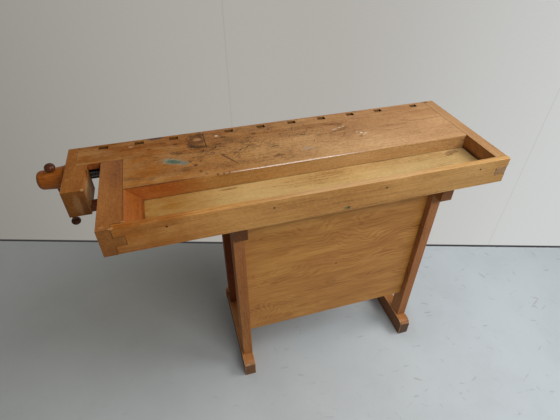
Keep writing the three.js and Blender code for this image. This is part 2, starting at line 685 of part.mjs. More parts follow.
function hub() {
  const start = -hubFoot;
  const grooveEnd = HUB_BEAD_LENGTH + 2 * HUB_GROOVE_DEPTH;
  const profile = [
    [0, start],
    [HUB_FOOT_RADIUS, start],
    [HUB_FOOT_RADIUS, start + HUB_BEAD_LENGTH],
    [HUB_FOOT_RADIUS - HUB_GROOVE_DEPTH, start + HUB_BEAD_LENGTH + HUB_GROOVE_DEPTH],
    [hubRadiusAt(grooveEnd), start + grooveEnd],
  ];
  for (let i = 0; i <= CURVE_STEPS; i += 1) {
    const angle = (i / CURVE_STEPS) * (Math.PI / 2);
    const radius = HUB_NOSE_RADIUS - HUB_ROUNDING * (1 - Math.cos(angle));
    profile.push([radius, -hubNose - HUB_ROUNDING * (1 - Math.sin(angle))]);
  }
  profile.push([0, -hubNose]);
  const socket = rodX(SCREW_RADIUS + GAP, [hubFoot - HUB_SOCKET_DEPTH, hubFoot + CUT], 0, 0);
  const barBore = rodZ(BAR_RADIUS + BAR_BORE_GAP, grown([0, 0], HUB_FOOT_RADIUS + CUT), barX, 0);
  return turnedX(profile).subtract(socket).subtract(barBore);
}
addPiece(screwGroup, 'screw_hub', 'hub', hub());

// Tommy bar: the flat of the upper knob rests on the thicker side of the hub's taper
const barGroup = new THREE.Group();
barGroup.position.x = barX;
screwGroup.add(barGroup);
const upperFlat = hubRadiusAt(BAR_STATION - KNOB_FLAT_RADIUS) + GAP;
const lowerFlat = -BAR_DROP + KNOB_HALF_HEIGHT;
const barEnd = KNOB_SOCKET_DEPTH - GAP;
addPiece(barGroup, 'tommy_bar', 'knob', rodZ(BAR_RADIUS, [lowerFlat - barEnd, upperFlat + barEnd], 0, 0));

// A knob drawn upwards from the flat that faces the hub, with a blind socket for the bar
function knob() {
  const profile = [
    [0, KNOB_SOCKET_DEPTH],
    [BAR_RADIUS + GAP, KNOB_SOCKET_DEPTH],
    [BAR_RADIUS + GAP, 0],
  ];
  const flatAngle = -Math.acos(KNOB_FLAT_RADIUS / KNOB_RADIUS);
  for (let i = 0; i <= CURVE_STEPS; i += 1) {
    const angle = flatAngle + (i / CURVE_STEPS) * (Math.PI / 2 - flatAngle);
    const rise = (Math.sin(angle) - Math.sin(flatAngle)) / (1 - Math.sin(flatAngle));
    profile.push([KNOB_RADIUS * Math.cos(angle), 2 * KNOB_HALF_HEIGHT * rise]);
  }
  profile[profile.length - 1][0] = 0;
  return turnedZ(profile);
}
addPiece(barGroup, 'upper_bar_knob', 'knob', knob()).position.z = upperFlat;
const lowerKnob = addPiece(barGroup, 'lower_bar_knob', 'knob', knob());
lowerKnob.position.z = lowerFlat;
lowerKnob.rotation.x = Math.PI;

export default bench;
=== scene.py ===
"""A small woodworking bench with a tail vise, in old oiled beech.

Every board is a copy of its solid with its edges eased, and the turned and threaded pieces
are made here. Lengths are in metres, +Z up, in the frame of the solids.
"""
import json
import math
import random
from collections import namedtuple

import bmesh
import bpy
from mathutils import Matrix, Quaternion, Vector

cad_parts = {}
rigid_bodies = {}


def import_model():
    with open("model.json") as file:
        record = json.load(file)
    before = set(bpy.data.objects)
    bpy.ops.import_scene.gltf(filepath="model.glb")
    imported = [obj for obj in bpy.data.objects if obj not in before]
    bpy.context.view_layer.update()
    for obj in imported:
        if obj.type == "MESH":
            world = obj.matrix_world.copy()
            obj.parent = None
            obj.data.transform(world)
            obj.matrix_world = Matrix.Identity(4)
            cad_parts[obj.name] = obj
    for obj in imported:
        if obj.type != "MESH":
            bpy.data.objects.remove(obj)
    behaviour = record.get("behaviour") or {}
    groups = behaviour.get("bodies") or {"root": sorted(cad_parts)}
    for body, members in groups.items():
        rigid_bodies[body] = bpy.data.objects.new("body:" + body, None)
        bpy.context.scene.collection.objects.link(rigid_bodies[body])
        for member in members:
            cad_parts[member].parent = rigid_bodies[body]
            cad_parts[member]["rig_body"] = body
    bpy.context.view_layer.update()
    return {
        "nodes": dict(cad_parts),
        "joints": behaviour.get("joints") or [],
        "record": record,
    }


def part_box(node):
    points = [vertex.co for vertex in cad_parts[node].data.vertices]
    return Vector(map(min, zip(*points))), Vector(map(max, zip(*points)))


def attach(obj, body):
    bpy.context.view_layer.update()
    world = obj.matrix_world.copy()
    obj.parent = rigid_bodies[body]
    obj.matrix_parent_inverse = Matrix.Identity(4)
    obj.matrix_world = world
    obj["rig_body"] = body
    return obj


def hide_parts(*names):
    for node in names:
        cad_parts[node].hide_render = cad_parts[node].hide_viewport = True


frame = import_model()
scene = bpy.context.scene
scene.view_settings.view_transform = "Standard"

MM = 0.001
AXES = "xyz"

# The outer corner of the left end cap and the tray rail, from which places on the bench are given
CORNER = Vector((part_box("left_end_cap")[0].x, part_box("tray_rail")[0].y, 0))
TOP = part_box("top_slab")[1].z


def at(x, y=0, z=TOP / MM):
    """A place on the bench, in millimetres from its outer left corner and the floor."""
    return Vector((CORNER.x + x * MM, CORNER.y + y * MM, z * MM))


def srgb(red, green, blue):
    """A colour as it looks on screen, from 0 to 255, as a shader takes it."""
    def linear(value):
        share = value / 255
        return share / 12.92 if share <= 0.04045 else ((share + 0.055) / 1.055) ** 2.4
    return (linear(red), linear(green), linear(blue), 1.0)


# Camera: where it stands from the outer left corner, which way it turns and tips, and its lens
CAMERA_PLACE = CORNER + Vector((0.2064, -0.7447, 1.3986))
CAMERA_YAW = math.radians(16.451)
CAMERA_PITCH = math.radians(39.379)
CAMERA_ROLL = math.radians(0.16)
CAMERA_LENS = 25.97
CAMERA_SENSOR = 36
HEADING = Vector((math.sin(CAMERA_YAW), math.cos(CAMERA_YAW), 0))

# Wall: how far ahead of the camera it stands and how much it turns from it, and its colours, which
# darken towards the left as painted shade, with a painted shadow along its foot
WALL_AHEAD = 1.436
WALL_TURN = 0.013
WALL_SIZE = (7.0, 3.0)
WALL_SHADOW_BAND = 0.012
WALL_SEAMS = (-0.19, 1.02)
WALL_LEFT = srgb(138, 136, 129)
WALL_MIDDLE = srgb(177, 173, 167)
WALL_RIGHT = srgb(207, 209, 208)
WALL_WEAVE = srgb(120, 116, 110)
WALL_LINE = srgb(90, 88, 84)
WALL_FOOT_SHADOW = srgb(46, 44, 46)

# Floor: each scratch has an angle, a seed and a colour, each painted shadow a middle, a reach along
# X, Y and Z, a strength and a colour
FLOOR_SIZE = 9.0
# The floor is darker towards the left as painted shade
FLOOR_LEFT = srgb(188, 190, 186)
FLOOR_RIGHT = srgb(202, 210, 214)
FLOOR_CLOUD = srgb(140, 144, 144)
FLOOR_SCRATCHES = (
    (34, 2.3, srgb(136, 126, 126)),
    (71, 9.1, srgb(112, 114, 114)),
    (-22, 15.7, srgb(144, 130, 128)),
    (8, 31.2, srgb(124, 122, 122)),
)
FLOOR_PAINTED_SHADOWS = (
    (at(463, 197, 0), (0.9, 0.5, 1), 0.24, srgb(122, 122, 120)),
    (at(100, 530, 0), (0.85, 0.52, 1), 0.5, srgb(122, 106, 80)),
    (at(930, 200, 0), (0.12, 0.24, 1), 0.6, srgb(78, 70, 64)),
)

# Light: the room, and lamps that look at the middle of the bench, each with a place, a size, a
# power and whether it shows in reflections
ROOM = srgb(243, 243, 242)
ROOM_LEVEL = 0.18
LAMP_AIM = Vector((0.1, 0, 0.7))
LAMPS = (
    ("key", Vector((1.5, -0.5, 1.95)), (1.0, 0.8), 22.5, True),
    ("sky", Vector((0.45, -0.5, 2.7)), (0.6, 1.7), 3, True),
    ("front", Vector((0.62, -1.75, 2.3)), (1.2, 0.6), 27, True),
    ("back", Vector((-0.9, 1.9, 1.7)), (2.2, 1.2), 7, False),
)

# Edges of boards, in millimetres: eased by a plane, glued flush, and rounded by years of hands
EASED = 0.9
FLUSH = 0.2
EASED_PEG, EASED_PANEL, EASED_STEEL, EASED_BOLT = 0.4, 0.5, 0.6, 0.8
WORN, WORN_LESS = 2.4, 1.6
WORN_FAR, WORN_FOOT = 2.0, 1.8
SLAB_ARRIS = 4.5
BEVEL_STEPS = 3
SHARP_ANGLE = math.radians(30)
CREASE_ANGLE = math.radians(40)

# Clearing up a copied solid: how near points are one, edges are flat, and a point is on a side
WELD = 0.01 * MM
FLAT_ANGLE = math.radians(0.5)
SIDE_SLACK = 0.1 * MM

# Turned pieces
ROUND_STEPS = 64
BORE_GAP = 0.6 * MM
HUB_TIP = 0.6 * MM
HUB_EASE = 1.2 * MM
HUB_BEAD = 8 * MM
BEAD_ROUNDING = 2 * MM
GROOVE_DEPTH = 1.6 * MM
GROOVE_START, GROOVE_END, GROOVE_LIP = 0.6 * MM, 1.6 * MM, 2.8 * MM
HUB_NOSE = 26.5 * MM
HUB_ROUNDING = 13 * MM
KNOB_FLAT = 8 / 14
KNOB_STEPS = 24
KNOB_TIP = 0.4 * MM
KNOB_SEAT = 0.9

# Thread of the screw: places in one pitch, each with its share of the depth
THREAD_PITCH = 6.0 * MM
THREAD_DEPTH = 2.4 * MM
THREAD_FORM = ((0.0, 0.0), (0.28, 0.0), (0.42, 1.0), (0.86, 1.0))
THREAD_STEPS = 32
THREAD_WELD = 0.002 * MM


def add(name, data):
    """A new object in the scene."""
    made = bpy.data.objects.new(name, data)
    scene.collection.objects.link(made)
    return made


# Camera, stage and light

def make_camera():
    data = bpy.data.cameras.new("photo_camera")
    data.lens = CAMERA_LENS
    data.sensor_width = CAMERA_SENSOR
    camera = add("photo_camera", data)
    ahead = HEADING * math.cos(CAMERA_PITCH) - Vector((0, 0, math.sin(CAMERA_PITCH)))
    turn = ahead.to_track_quat("-Z", "Y") @ Quaternion((0, 0, 1), CAMERA_ROLL)
    camera.location = CAMERA_PLACE
    camera.rotation_euler = turn.to_euler()
    scene.camera = camera


def make_lamp(name, place, size, power, mirrored):
    data = bpy.data.lights.new(name, "AREA")
    data.shape = "RECTANGLE"
    data.size, data.size_y = size
    data.energy = power
    lamp = add(name, data)
    lamp.location = place
    lamp.rotation_euler = (LAMP_AIM - place).to_track_quat("-Z", "Y").to_euler()
    lamp.visible_camera = False
    lamp.visible_glossy = mirrored


class Graph:
    """A short way to write nodes: each call adds one and returns its output socket."""

    def __init__(self, tree):
        self.tree = tree

    def feed(self, socket, value):
        if isinstance(value, bpy.types.NodeSocket):
            self.tree.links.new(value, socket)
        else:
            socket.default_value = value

    def node(self, kind, inputs=None, **settings):
        made = self.tree.nodes.new(kind)
        for name, value in settings.items():
            setattr(made, name, value)
        for key, value in (inputs or {}).items():
            self.feed(made.inputs[key], value)
        return made

    def math(self, operation, *values):
        return self.node("ShaderNodeMath", dict(enumerate(values)), operation=operation).outputs[0]

    def times(self, first, *others):
        for other in others:
            first = self.math("MULTIPLY", first, other)
        return first

    def minus(self, first, second):
        return self.math("SUBTRACT", first, second)

    def shift(self, base, noise, strength):
        """A base value that a noise moves up and down."""
        return self.math("MULTIPLY_ADD", self.minus(noise, 0.5), strength, base)

    def vector(self, operation, *values):
        made = self.node("ShaderNodeVectorMath", dict(enumerate(values)), operation=operation)
        return made.outputs["Value" if operation in ("LENGTH", "DOT_PRODUCT") else "Vector"]

    def split(self, vector):
        return self.node("ShaderNodeSeparateXYZ", {0: vector}).outputs

    def join(self, x, y, z):
        return self.node("ShaderNodeCombineXYZ", {0: x, 1: y, 2: z}).outputs[0]

    def noise(self, place, scale, detail=2.0, roughness=0.5, distortion=0.0, output="Fac"):
        """Noise over a place. The scale says how fast it changes along X, Y and Z."""
        inputs = {
            "Vector": self.stretch(place, *scale), "Scale": 1.0, "Detail": detail,
            "Roughness": roughness, "Distortion": distortion,
        }
        return self.node("ShaderNodeTexNoise", inputs).outputs[output]

    def bump(self, height, strength, distance):
        inputs = {"Strength": strength, "Distance": distance, "Height": height}
        return self.node("ShaderNodeBump", inputs).outputs[0]

    def stretch(self, vector, *scale):
        return self.vector("MULTIPLY", vector, Vector(scale))

    def turn(self, vector, degrees, centre=Vector()):
        """A place turned about the vertical through a centre."""
        inputs = {"Vector": vector, "Center": centre, "Angle": math.radians(degrees)}
        return self.node("ShaderNodeVectorRotate", inputs, rotation_type="Z_AXIS").outputs[0]

    def reach(self, place, middle, size):
        """How far a place lies from the middle of an oval, with 1 on its rim."""
        offset = self.vector("SUBTRACT", place, middle)
        return self.vector("LENGTH", self.vector("DIVIDE", offset, Vector(size)))

    def step(self, value, low, high, start=0.0, end=1.0):
        """A smooth rise from start to end while the value goes from low to high."""
        inputs = {0: value, 1: low, 2: high, 3: start, 4: end}
        made = self.node("ShaderNodeMapRange", inputs, interpolation_type="SMOOTHSTEP")
        return made.outputs[0]

    def mix(self, share, first, second, blend="MIX"):
        inputs = {0: share, 6: first, 7: second}
        made = self.node("ShaderNodeMix", inputs, data_type="RGBA", blend_type=blend)
        return made.outputs[2]


def new_material(name):
    material = bpy.data.materials.new(name)
    material.use_nodes = True
    material.node_tree.nodes.clear()
    g = Graph(material.node_tree)
    output = g.node("ShaderNodeOutputMaterial")
    return material, g, output


def shader(g, output, **inputs):
    """A principled surface whose inputs are given by their names with underscores."""
    named = {name.replace("_", " "): value for name, value in inputs.items()}
    bsdf = g.node("ShaderNodeBsdfPrincipled", named)
    g.tree.links.new(bsdf.outputs[0], output.inputs["Surface"])


def place_of(g):
    """Where a point of a surface lies."""
    return g.node("ShaderNodeTexCoord").outputs["Object"]


def facing(g):
    """Which way a surface faces, as X, Y and Z."""
    return g.split(g.node("ShaderNodeNewGeometry").outputs["Normal"])


def wall_material():
    """Seen by the camera and in reflections, from its front only, so it never hides the bench."""
    material, g, output = new_material("wall_paint")
    place = place_of(g)
    x, y, _ = g.split(place)
    # Darker towards the left as painted shade
    left = g.mix(g.step(x, -1.7, 0.1), WALL_LEFT, WALL_MIDDLE)
    colour = g.mix(g.step(x, 0.0, 1.3), left, WALL_RIGHT)
    weave = g.noise(place, (40, 500, 0))
    colour = g.mix(g.step(weave, 0.3, 0.7, 0.0, 0.035), colour, WALL_WEAVE)
    for line in WALL_SEAMS:
        gap = g.math("ABSOLUTE", g.minus(x, line))
        colour = g.mix(g.step(gap, 0.0, 0.004, 0.12, 0.0), colour, WALL_LINE)
    # A painted shadow along the foot of the wall
    height = g.math("ADD", y, WALL_SIZE[1] / 2)
    colour = g.mix(g.step(height, WALL_SHADOW_BAND * 0.8, WALL_SHADOW_BAND * 1.3, 0.95, 0.0), colour, WALL_FOOT_SHADOW)
    rays = g.node("ShaderNodeLightPath").outputs
    seen = g.math("MAXIMUM", rays["Is Camera Ray"], rays["Is Glossy Ray"])
    seen = g.math("MAXIMUM", seen, rays["Is Transmission Ray"])
    behind = g.node("ShaderNodeNewGeometry").outputs["Backfacing"]
    seen = g.times(seen, g.minus(1.0, behind))
    paint = g.node("ShaderNodeEmission", {"Color": colour, "Strength": 1.0}).outputs[0]
    clear = g.node("ShaderNodeBsdfTransparent").outputs[0]
    mixed = g.node("ShaderNodeMixShader", {0: seen, 1: clear, 2: paint})
    g.tree.links.new(mixed.outputs[0], output.inputs["Surface"])
    return material


def scratches(g, place, angle, seed, across, along):
    """Thin lines at an angle, as a mask. The last two give how fast they change each way."""
    moved = g.vector("ADD", g.turn(place, angle), Vector((seed, seed, 0)))
    return g.noise(moved, (along, across, 1), detail=1)


def floor_material():
    """Grey paint, darker towards the left as painted shade, worn and scuffed on the right, with
    painted shadows under the bench, behind the vise and beside the right foot.
    """
    material, g, output = new_material("floor_paint")
    place = place_of(g)
    side = g.split(place)[0]
    # Darker towards the left as painted shade
    colour = g.mix(g.step(side, -1.4, 0.8), FLOOR_LEFT, FLOOR_RIGHT)
    cloud = g.noise(place, (3, 3, 3), detail=5, roughness=0.65)
    colour = g.mix(g.step(cloud, 0.3, 0.65, 0.14, 0.0), colour, FLOOR_CLOUD)
    worn = g.step(side, -0.5, 0.6, 0.25, 1.0)
    broken = g.step(g.noise(place, (31, 31, 31), detail=4), 0.45, 0.6)
    for angle, seed, tint in FLOOR_SCRATCHES:
        lines = scratches(g, place, angle, seed, across=70, along=9 + angle / 15)
        share = g.times(g.step(lines, 0.66, 0.8, 0.0, 0.42), worn, broken)
        colour = g.mix(share, colour, tint)
    # Painted shadows of the bench on the floor
    for middle, size, strength, tint in FLOOR_PAINTED_SHADOWS:
        share = g.step(g.reach(place, middle, size), 0.0, 1.1, strength, 0.0)
        colour = g.mix(share, colour, tint)
    shader(g, output, Base_Color=colour, Roughness=0.6, Specular_IOR_Level=0.3)
    return material


def make_plane(name, width, length, material):
    mesh = bpy.data.meshes.new(name)
    x, y = width / 2, length / 2
    mesh.from_pydata([(-x, -y, 0), (x, -y, 0), (x, y, 0), (-x, y, 0)], [], [(0, 1, 2, 3)])
    mesh.materials.append(material)
    plane = add(name, mesh)
    return plane


def make_stage():
    make_plane("floor", FLOOR_SIZE, FLOOR_SIZE, floor_material())
    wall = make_plane("wall", *WALL_SIZE, wall_material())
    wall.location = CAMERA_PLACE + HEADING * WALL_AHEAD
    wall.location.z = WALL_SIZE[1] / 2
    wall.rotation_euler = (math.pi / 2, 0, -CAMERA_YAW - WALL_TURN)
    world = bpy.data.worlds.new("room")
    world.use_nodes = True
    sky = world.node_tree.nodes["Background"]
    sky.inputs["Color"].default_value = ROOM
    sky.inputs["Strength"].default_value = ROOM_LEVEL
    scene.world = world
    for lamp in LAMPS:
        make_lamp(*lamp)


# Wood

Palette = namedtuple("Palette", "light mid dark")
Mark = namedtuple("Mark", "place size turn colour strength rag")

TOP_WOOD = Palette(srgb(215, 175, 128), srgb(186, 142, 97), srgb(126, 83, 48))
# The vise wood is darker partly as painted shade, where less light reaches the vise end
VISE_WOOD = Palette(srgb(174, 114, 52), srgb(147, 87, 35), srgb(98, 58, 28))
EDGE_WOOD = Palette(srgb(214, 164, 97), srgb(184, 131, 69), srgb(128, 82, 38))
CAP_WOOD = Palette(srgb(198, 156, 108), srgb(170, 126, 80), srgb(120, 80, 46))
TRAY_WOOD = Palette(srgb(220, 187, 130), srgb(197, 160, 102), srgb(148, 105, 56))
RAMP_WOOD = Palette(srgb(180, 108, 45), srgb(148, 81, 29), srgb(102, 51, 17))
BASE_WOOD = Palette(srgb(182, 123, 75), srgb(152, 96, 54), srgb(102, 60, 31))
FOOT_WOOD = Palette(srgb(198, 138, 80), srgb(172, 113, 61), srgb(100, 68, 45))
RIGHT_WOOD = Palette(srgb(198, 139, 92), srgb(168, 112, 70), srgb(112, 69, 39))
# Darker copies of the base wood with painted shade: for the far posts and the guide bar, and for the
# left bearer under the top
FAR_SHADED_WOOD = Palette(srgb(144, 79, 41), srgb(115, 58, 28), srgb(75, 35, 16))
BEARER_SHADED_WOOD = Palette(srgb(146, 92, 52), srgb(116, 70, 37), srgb(78, 45, 24))
PLY_WOOD = Palette(srgb(204, 147, 72), srgb(177, 117, 49), srgb(128, 78, 29))
HUB_WOOD = Palette(srgb(180, 107, 38), srgb(150, 81, 24), srgb(102, 52, 16))
KNOB_WOOD = Palette(srgb(128, 74, 42), srgb(96, 52, 28), srgb(56, 28, 15))

# Tints, which multiply the colour of wood
END_GRAIN = (0.66, 0.68, 0.74, 1.0)
PALE_END = (0.82, 0.86, 0.9, 1.0)
DULL_END = (0.72, 0.75, 0.78, 1.0)
# Darkening by hands and oil, and by painted shade towards the vise end
HANDLED_AND_SHADED = (0.67, 0.4, 0.09, 1.0)
GRIMY = (0.76, 0.64, 0.5, 1.0)
OILED = (1.0, 0.96, 0.74, 1.0)
DULLED = (0.87, 0.91, 0.98, 1.0)
GOLDEN = (0.86, 0.855, 0.73, 1.0)
ORANGE = (0.86, 0.55, 0.4, 1.0)
LEFT_SCUFF = (0.76, 0.76, 0.82, 1.0)
RIGHT_SCUFF = (0.44, 0.46, 0.56, 1.0)
DIRTY_SHADED_SIDE = (0.4, 0.37, 0.36, 1.0)
PALER_TINT = (1.3, 1.45, 1.5, 1.0)

# Colours of dirt, wear, paint and metal, and of painted shade, painted light and painted highlights
DIRT_AND_SHADE = srgb(52, 30, 18)
HOLE_SHADE = srgb(40, 20, 14)
INSIDE_LIGHT = srgb(214, 146, 78)
ARRIS_HIGHLIGHT = srgb(228, 208, 200)
RUBBED = srgb(208, 174, 130)
BARE_AND_HIGHLIGHT = srgb(224, 176, 130)
SMEAR = srgb(96, 60, 34)
SPECK = srgb(58, 36, 24)
CUT = srgb(46, 28, 20)
INK_AND_SHADOW = srgb(38, 23, 17)
SMUDGE = srgb(76, 45, 26)
TEAL = srgb(54, 88, 66)
PALE_TEAL = srgb(134, 160, 148)
CHALK = srgb(222, 212, 192)
NAIL = srgb(44, 28, 20)
PLY_CORE = srgb(196, 150, 96)
PLY_GLUE = srgb(122, 78, 42)
STEEL = srgb(112, 108, 104)
DARK_STEEL = srgb(70, 68, 66)
RUST = srgb(86, 52, 36)

# Marks of use, with a patch of painted light and a painted shadow among the spots: cuts by their
# angle, seed and how fast they end, nail holes and a plug in the rail by X and Z, and spots by
# their place, half sizes, turn, colour, strength and raggedness
# Where the edge above the tray is polished and carries a painted highlight, from and to a place
# along X
POLISHED_HIGHLIGHT_EDGE = (360, 690)
CUTS = ((17, 3.1, 30), (-31, 7.7, 24), (-58, 12.9, 34), (3, 21.3, 16))
NAILS = ((153, 774), (412, 771), (720, 770), (1008, 774))
NAIL_RADIUS = 1.9 * MM
NAIL_DEPTH = 5 * MM
PLUG = (612, 727)
MARKS = [Mark(at(*place), *rest) for place, *rest in (
    ((193, 243), (36, 15, 6), -26, PALE_TEAL, 0.75, 2.4),
    ((193, 242), (25, 10, 6), -26, TEAL, 0.95, 2.2),
    ((221, 228), (11, 10, 6), 0, srgb(96, 122, 112), 0.8, 1.8),
    ((34, 3), (6, 4, 4), 20, srgb(206, 168, 116), 0.65, 1.6),
    ((58, 20), (5, 4, 4), 0, srgb(198, 158, 106), 0.5, 1.4),
    ((12, 12), (5, 4, 4), 0, srgb(188, 144, 92), 0.6, 1.4),
    ((-40, 176), (5, 5, 5), 0, srgb(200, 164, 116), 0.7, 1.2),
    ((-80, 232), (5, 4, 4), 0, srgb(188, 136, 80), 0.6, 1.4),
    ((-36, 262, 790), (3, 9, 8), 0, srgb(66, 40, 16), 0.9, 0.8),
    # Painted light on the inner face of the end block, and beside it a painted shadow of the screw
    ((-36, 214, 752), (4, 44, 44), 0, srgb(200, 160, 104), 0.75, 1.2),
    ((-36, 290, 748), (4, 16, 46), 0, INK_AND_SHADOW, 0.8, 0.8),
    ((150, 391), (26, 13, 9), 0, srgb(46, 48, 60), 0.9, 1.2),
    ((799, 394), (12, 5, 9), 0, srgb(54, 54, 60), 0.8, 1.0),
    ((300, 150), (4, 4, 5), 0, INK_AND_SHADOW, 0.8, 0.8),
    ((316, 150), (3, 4, 5), 0, INK_AND_SHADOW, 0.8, 0.8),
    ((331, 151), (3, 3, 5), 0, INK_AND_SHADOW, 0.7, 0.8),
    ((-60, 174, 752), (11, 4, 34), 0, srgb(152, 114, 74), 0.6, 2.0),
    ((-46, 174, 745), (8, 4, 40), 0, srgb(96, 56, 32), 0.6, 1.6),
    ((262, 338), (26, 50, 6), 4, SMUDGE, 0.72, 2.4),
    ((272, 303), (27, 8, 6), -4, INK_AND_SHADOW, 0.85, 1.4),
    ((251, 312), (9, 8, 6), 0, INK_AND_SHADOW, 1.0, 0.8),
    ((278, 372), (15, 15, 6), 0, INK_AND_SHADOW, 0.7, 2.2),
    ((245, 318), (9, 22, 6), 0, SMUDGE, 0.9, 2.2),
    ((205, 285), (22, 9, 6), -16, SMUDGE, 0.6, 2.2),
    ((222, 195), (18, 14, 6), 0, SMUDGE, 0.5, 2.4),
    ((237, 230), (4.5, 4, 6), 0, INK_AND_SHADOW, 0.9, 0.5),
    ((249, 210), (7, 5, 6), 0, INK_AND_SHADOW, 0.9, 0.6),
    ((265, 226), (4, 4, 6), 0, INK_AND_SHADOW, 0.8, 0.6),
    ((258, 174), (5, 4, 6), 0, INK_AND_SHADOW, 0.85, 0.6),
    ((272, 160), (4, 3, 6), 0, INK_AND_SHADOW, 0.7, 0.6),
    ((347, 342), (11, 5, 6), 0, INK_AND_SHADOW, 0.85, 1.0),
    ((362, 318), (22, 13, 6), -30, SMUDGE, 0.6, 2.4),
    ((440, 338), (10, 5, 6), 10, INK_AND_SHADOW, 0.85, 0.8),
    ((342, 218), (42, 4, 6), -59, SMUDGE, 0.85, 1.2),
    ((332, 243), (14, 3, 6), -25, SMUDGE, 0.8, 1.0),
    ((398, 300), (24, 14, 6), -10, SMUDGE, 0.4, 2.6),
    ((480, 196), (18, 8, 6), 0, SMUDGE, 0.6, 2.0),
    ((130, 330), (7, 4, 6), 0, INK_AND_SHADOW, 0.7, 1.0),
    ((205, 338), (8, 5, 6), 0, INK_AND_SHADOW, 0.8, 0.8),
    ((140, 280), (18, 4, 6), -4, SMUDGE, 0.6, 1.6),
    ((82, 188), (28, 10, 6), -8, SMUDGE, 0.45, 2.0),
    ((130, 176), (12, 7, 6), 0, SMUDGE, 0.5, 2.0),
    ((328, 354), (6, 5, 6), 0, CHALK, 0.9, 0.9),
    ((269, 348), (13, 11, 6), 0, srgb(182, 132, 86), 0.9, 1.2),
    ((690, 294), (9, 4, 6), 12, CHALK, 0.6, 2.2),
    ((708, 300), (7, 3, 6), 12, CHALK, 0.7, 2.2),
    ((722, 304), (6, 3, 6), 20, CHALK, 0.5, 2.2),
    ((760, 252), (5, 5, 6), -10, CHALK, 1.0, 1.0),
    ((773, 245), (6, 3, 6), -20, CHALK, 0.8, 1.6),
    ((749, 258), (4, 3, 6), 0, CHALK, 0.7, 1.2),
    ((764, 240), (3, 3, 6), 0, CHALK, 0.8, 1.0),
    ((752, 232), (6, 5, 6), 0, SMUDGE, 0.6, 2.0),
    ((572, 210), (20, 10, 6), 0, srgb(166, 152, 146), 0.45, 2.2),
    ((1070, 388), (9, 7, 6), 0, srgb(70, 40, 28), 0.9, 0.5),
    ((80, 358), (8, 7, 6), 0, srgb(196, 160, 118), 0.6, 0.8),
    ((169, 353), (12, 6, 6), 0, SMUDGE, 0.5, 0.8),
    ((1015, 134, 751), (26, 10, 6), 10, srgb(104, 66, 38), 0.8, 2.2),
    ((1000, 122, 751), (16, 5, 6), 10, srgb(92, 56, 32), 0.7, 1.6),
    ((323, 136, 751), (30, 5, 6), 2, srgb(118, 76, 36), 0.75, 1.2),
    *(((x, 0, z), (3.4, 4, 3.4), 0, NAIL, 0.95, 0.3) for x, z in NAILS),
    ((PLUG[0], 0, PLUG[1]), (12, 4, 6), 0, srgb(84, 100, 70), 0.85, 1.2),
    ((PLUG[0] + 4, 0, PLUG[1]), (4, 4, 4), 0, NAIL, 0.9, 0.6),
    ((641, 78, 426), (5, 4, 4), 0, NAIL, 0.8, 0.8),
    ((641, 78, 339), (9, 4, 3), 0, srgb(110, 70, 36), 0.6, 1.4),
)]

# For each direction of the grain, the axes along it and across it
GRAIN_ORDER = {"x": (0, 1, 2), "y": (1, 2, 0), "z": (2, 0, 1)}

# What the wood group takes and gives, by the kind of socket
WOOD_SOCKETS = {
    "INPUT": {
        "Vector": "Place Seed Pith", "Float": "Ring Figure Mottle Stripe Speckle",
        "Color": "Light Mid Dark",
    },
    "OUTPUT": {"Color": "Colour", "Float": "Height Fibre"},
}


def wood_group():
    """Solid wood along X: rings round a pith, fibres, flecks and slow drifts of colour."""
    tree = bpy.data.node_groups.new("solid_wood", "ShaderNodeTree")
    for way, sockets in WOOD_SOCKETS.items():
        for kind, names in sockets.items():
            for name in names.split():
                tree.interface.new_socket(name, in_out=way, socket_type="NodeSocket" + kind)
    g = Graph(tree)
    given = g.node("NodeGroupInput").outputs
    seeded = g.vector("ADD", given["Place"], given["Seed"])
    sway = g.noise(seeded, (1.7, 8, 8), detail=2, output="Color")
    sway = g.stretch(g.vector("SUBTRACT", sway, Vector((0.5, 0.5, 0.5))), 0.03, 0.03, 0.03)
    bent = g.vector("SUBTRACT", g.vector("ADD", given["Place"], sway), given["Pith"])
    bent = g.stretch(bent, 0.02, 1, 1)
    phase = g.math("DIVIDE", g.vector("LENGTH", bent), given["Ring"])
    wave = g.math("SINE", g.times(phase, 2 * math.pi))
    late = g.step(wave, 0.1, 1.0)
    years = g.noise(seeded, (0.8, 55, 55), detail=1)
    late = g.times(late, g.step(years, 0.35, 0.7, 0.25, 1.0))
    fibre = g.noise(seeded, (7, 330, 330), detail=4, roughness=0.6)
    fine = g.noise(seeded, (40, 1500, 1500), detail=2)
    fleck = g.step(g.noise(seeded, (90, 1300, 420), detail=0), 0.66, 0.76)
    cloud = g.noise(seeded, (3, 10, 10), detail=3, roughness=0.6)
    speck = g.noise(seeded, (110, 170, 170), detail=3, roughness=0.7)
    tone = g.shift(0.56, cloud, given["Mottle"])
    tone = g.shift(tone, fibre, given["Stripe"])
    tone = g.shift(tone, fine, 0.5)
    tone = g.shift(tone, speck, given["Speckle"])
    tone = g.minus(tone, g.times(late, given["Figure"]))
    colour = g.mix(g.step(tone, 0.05, 0.5), given["Dark"], given["Mid"])
    colour = g.mix(g.step(tone, 0.45, 1.0), colour, given["Light"])
    colour = g.mix(g.times(fleck, 0.22), colour, given["Dark"])
    height = g.math("MULTIPLY_ADD", late, -0.35, g.math("MULTIPLY_ADD", fine, 0.5, fibre))
    g.node("NodeGroupOutput", {"Colour": colour, "Height": height, "Fibre": fibre})
    return tree


SOLID_WOOD = wood_group()


def wood_seed(name):
    """A far place in the noise, the same for a piece on every run."""
    draw = random.Random(name)
    return Vector([draw.uniform(-40, 40) for _ in AXES])


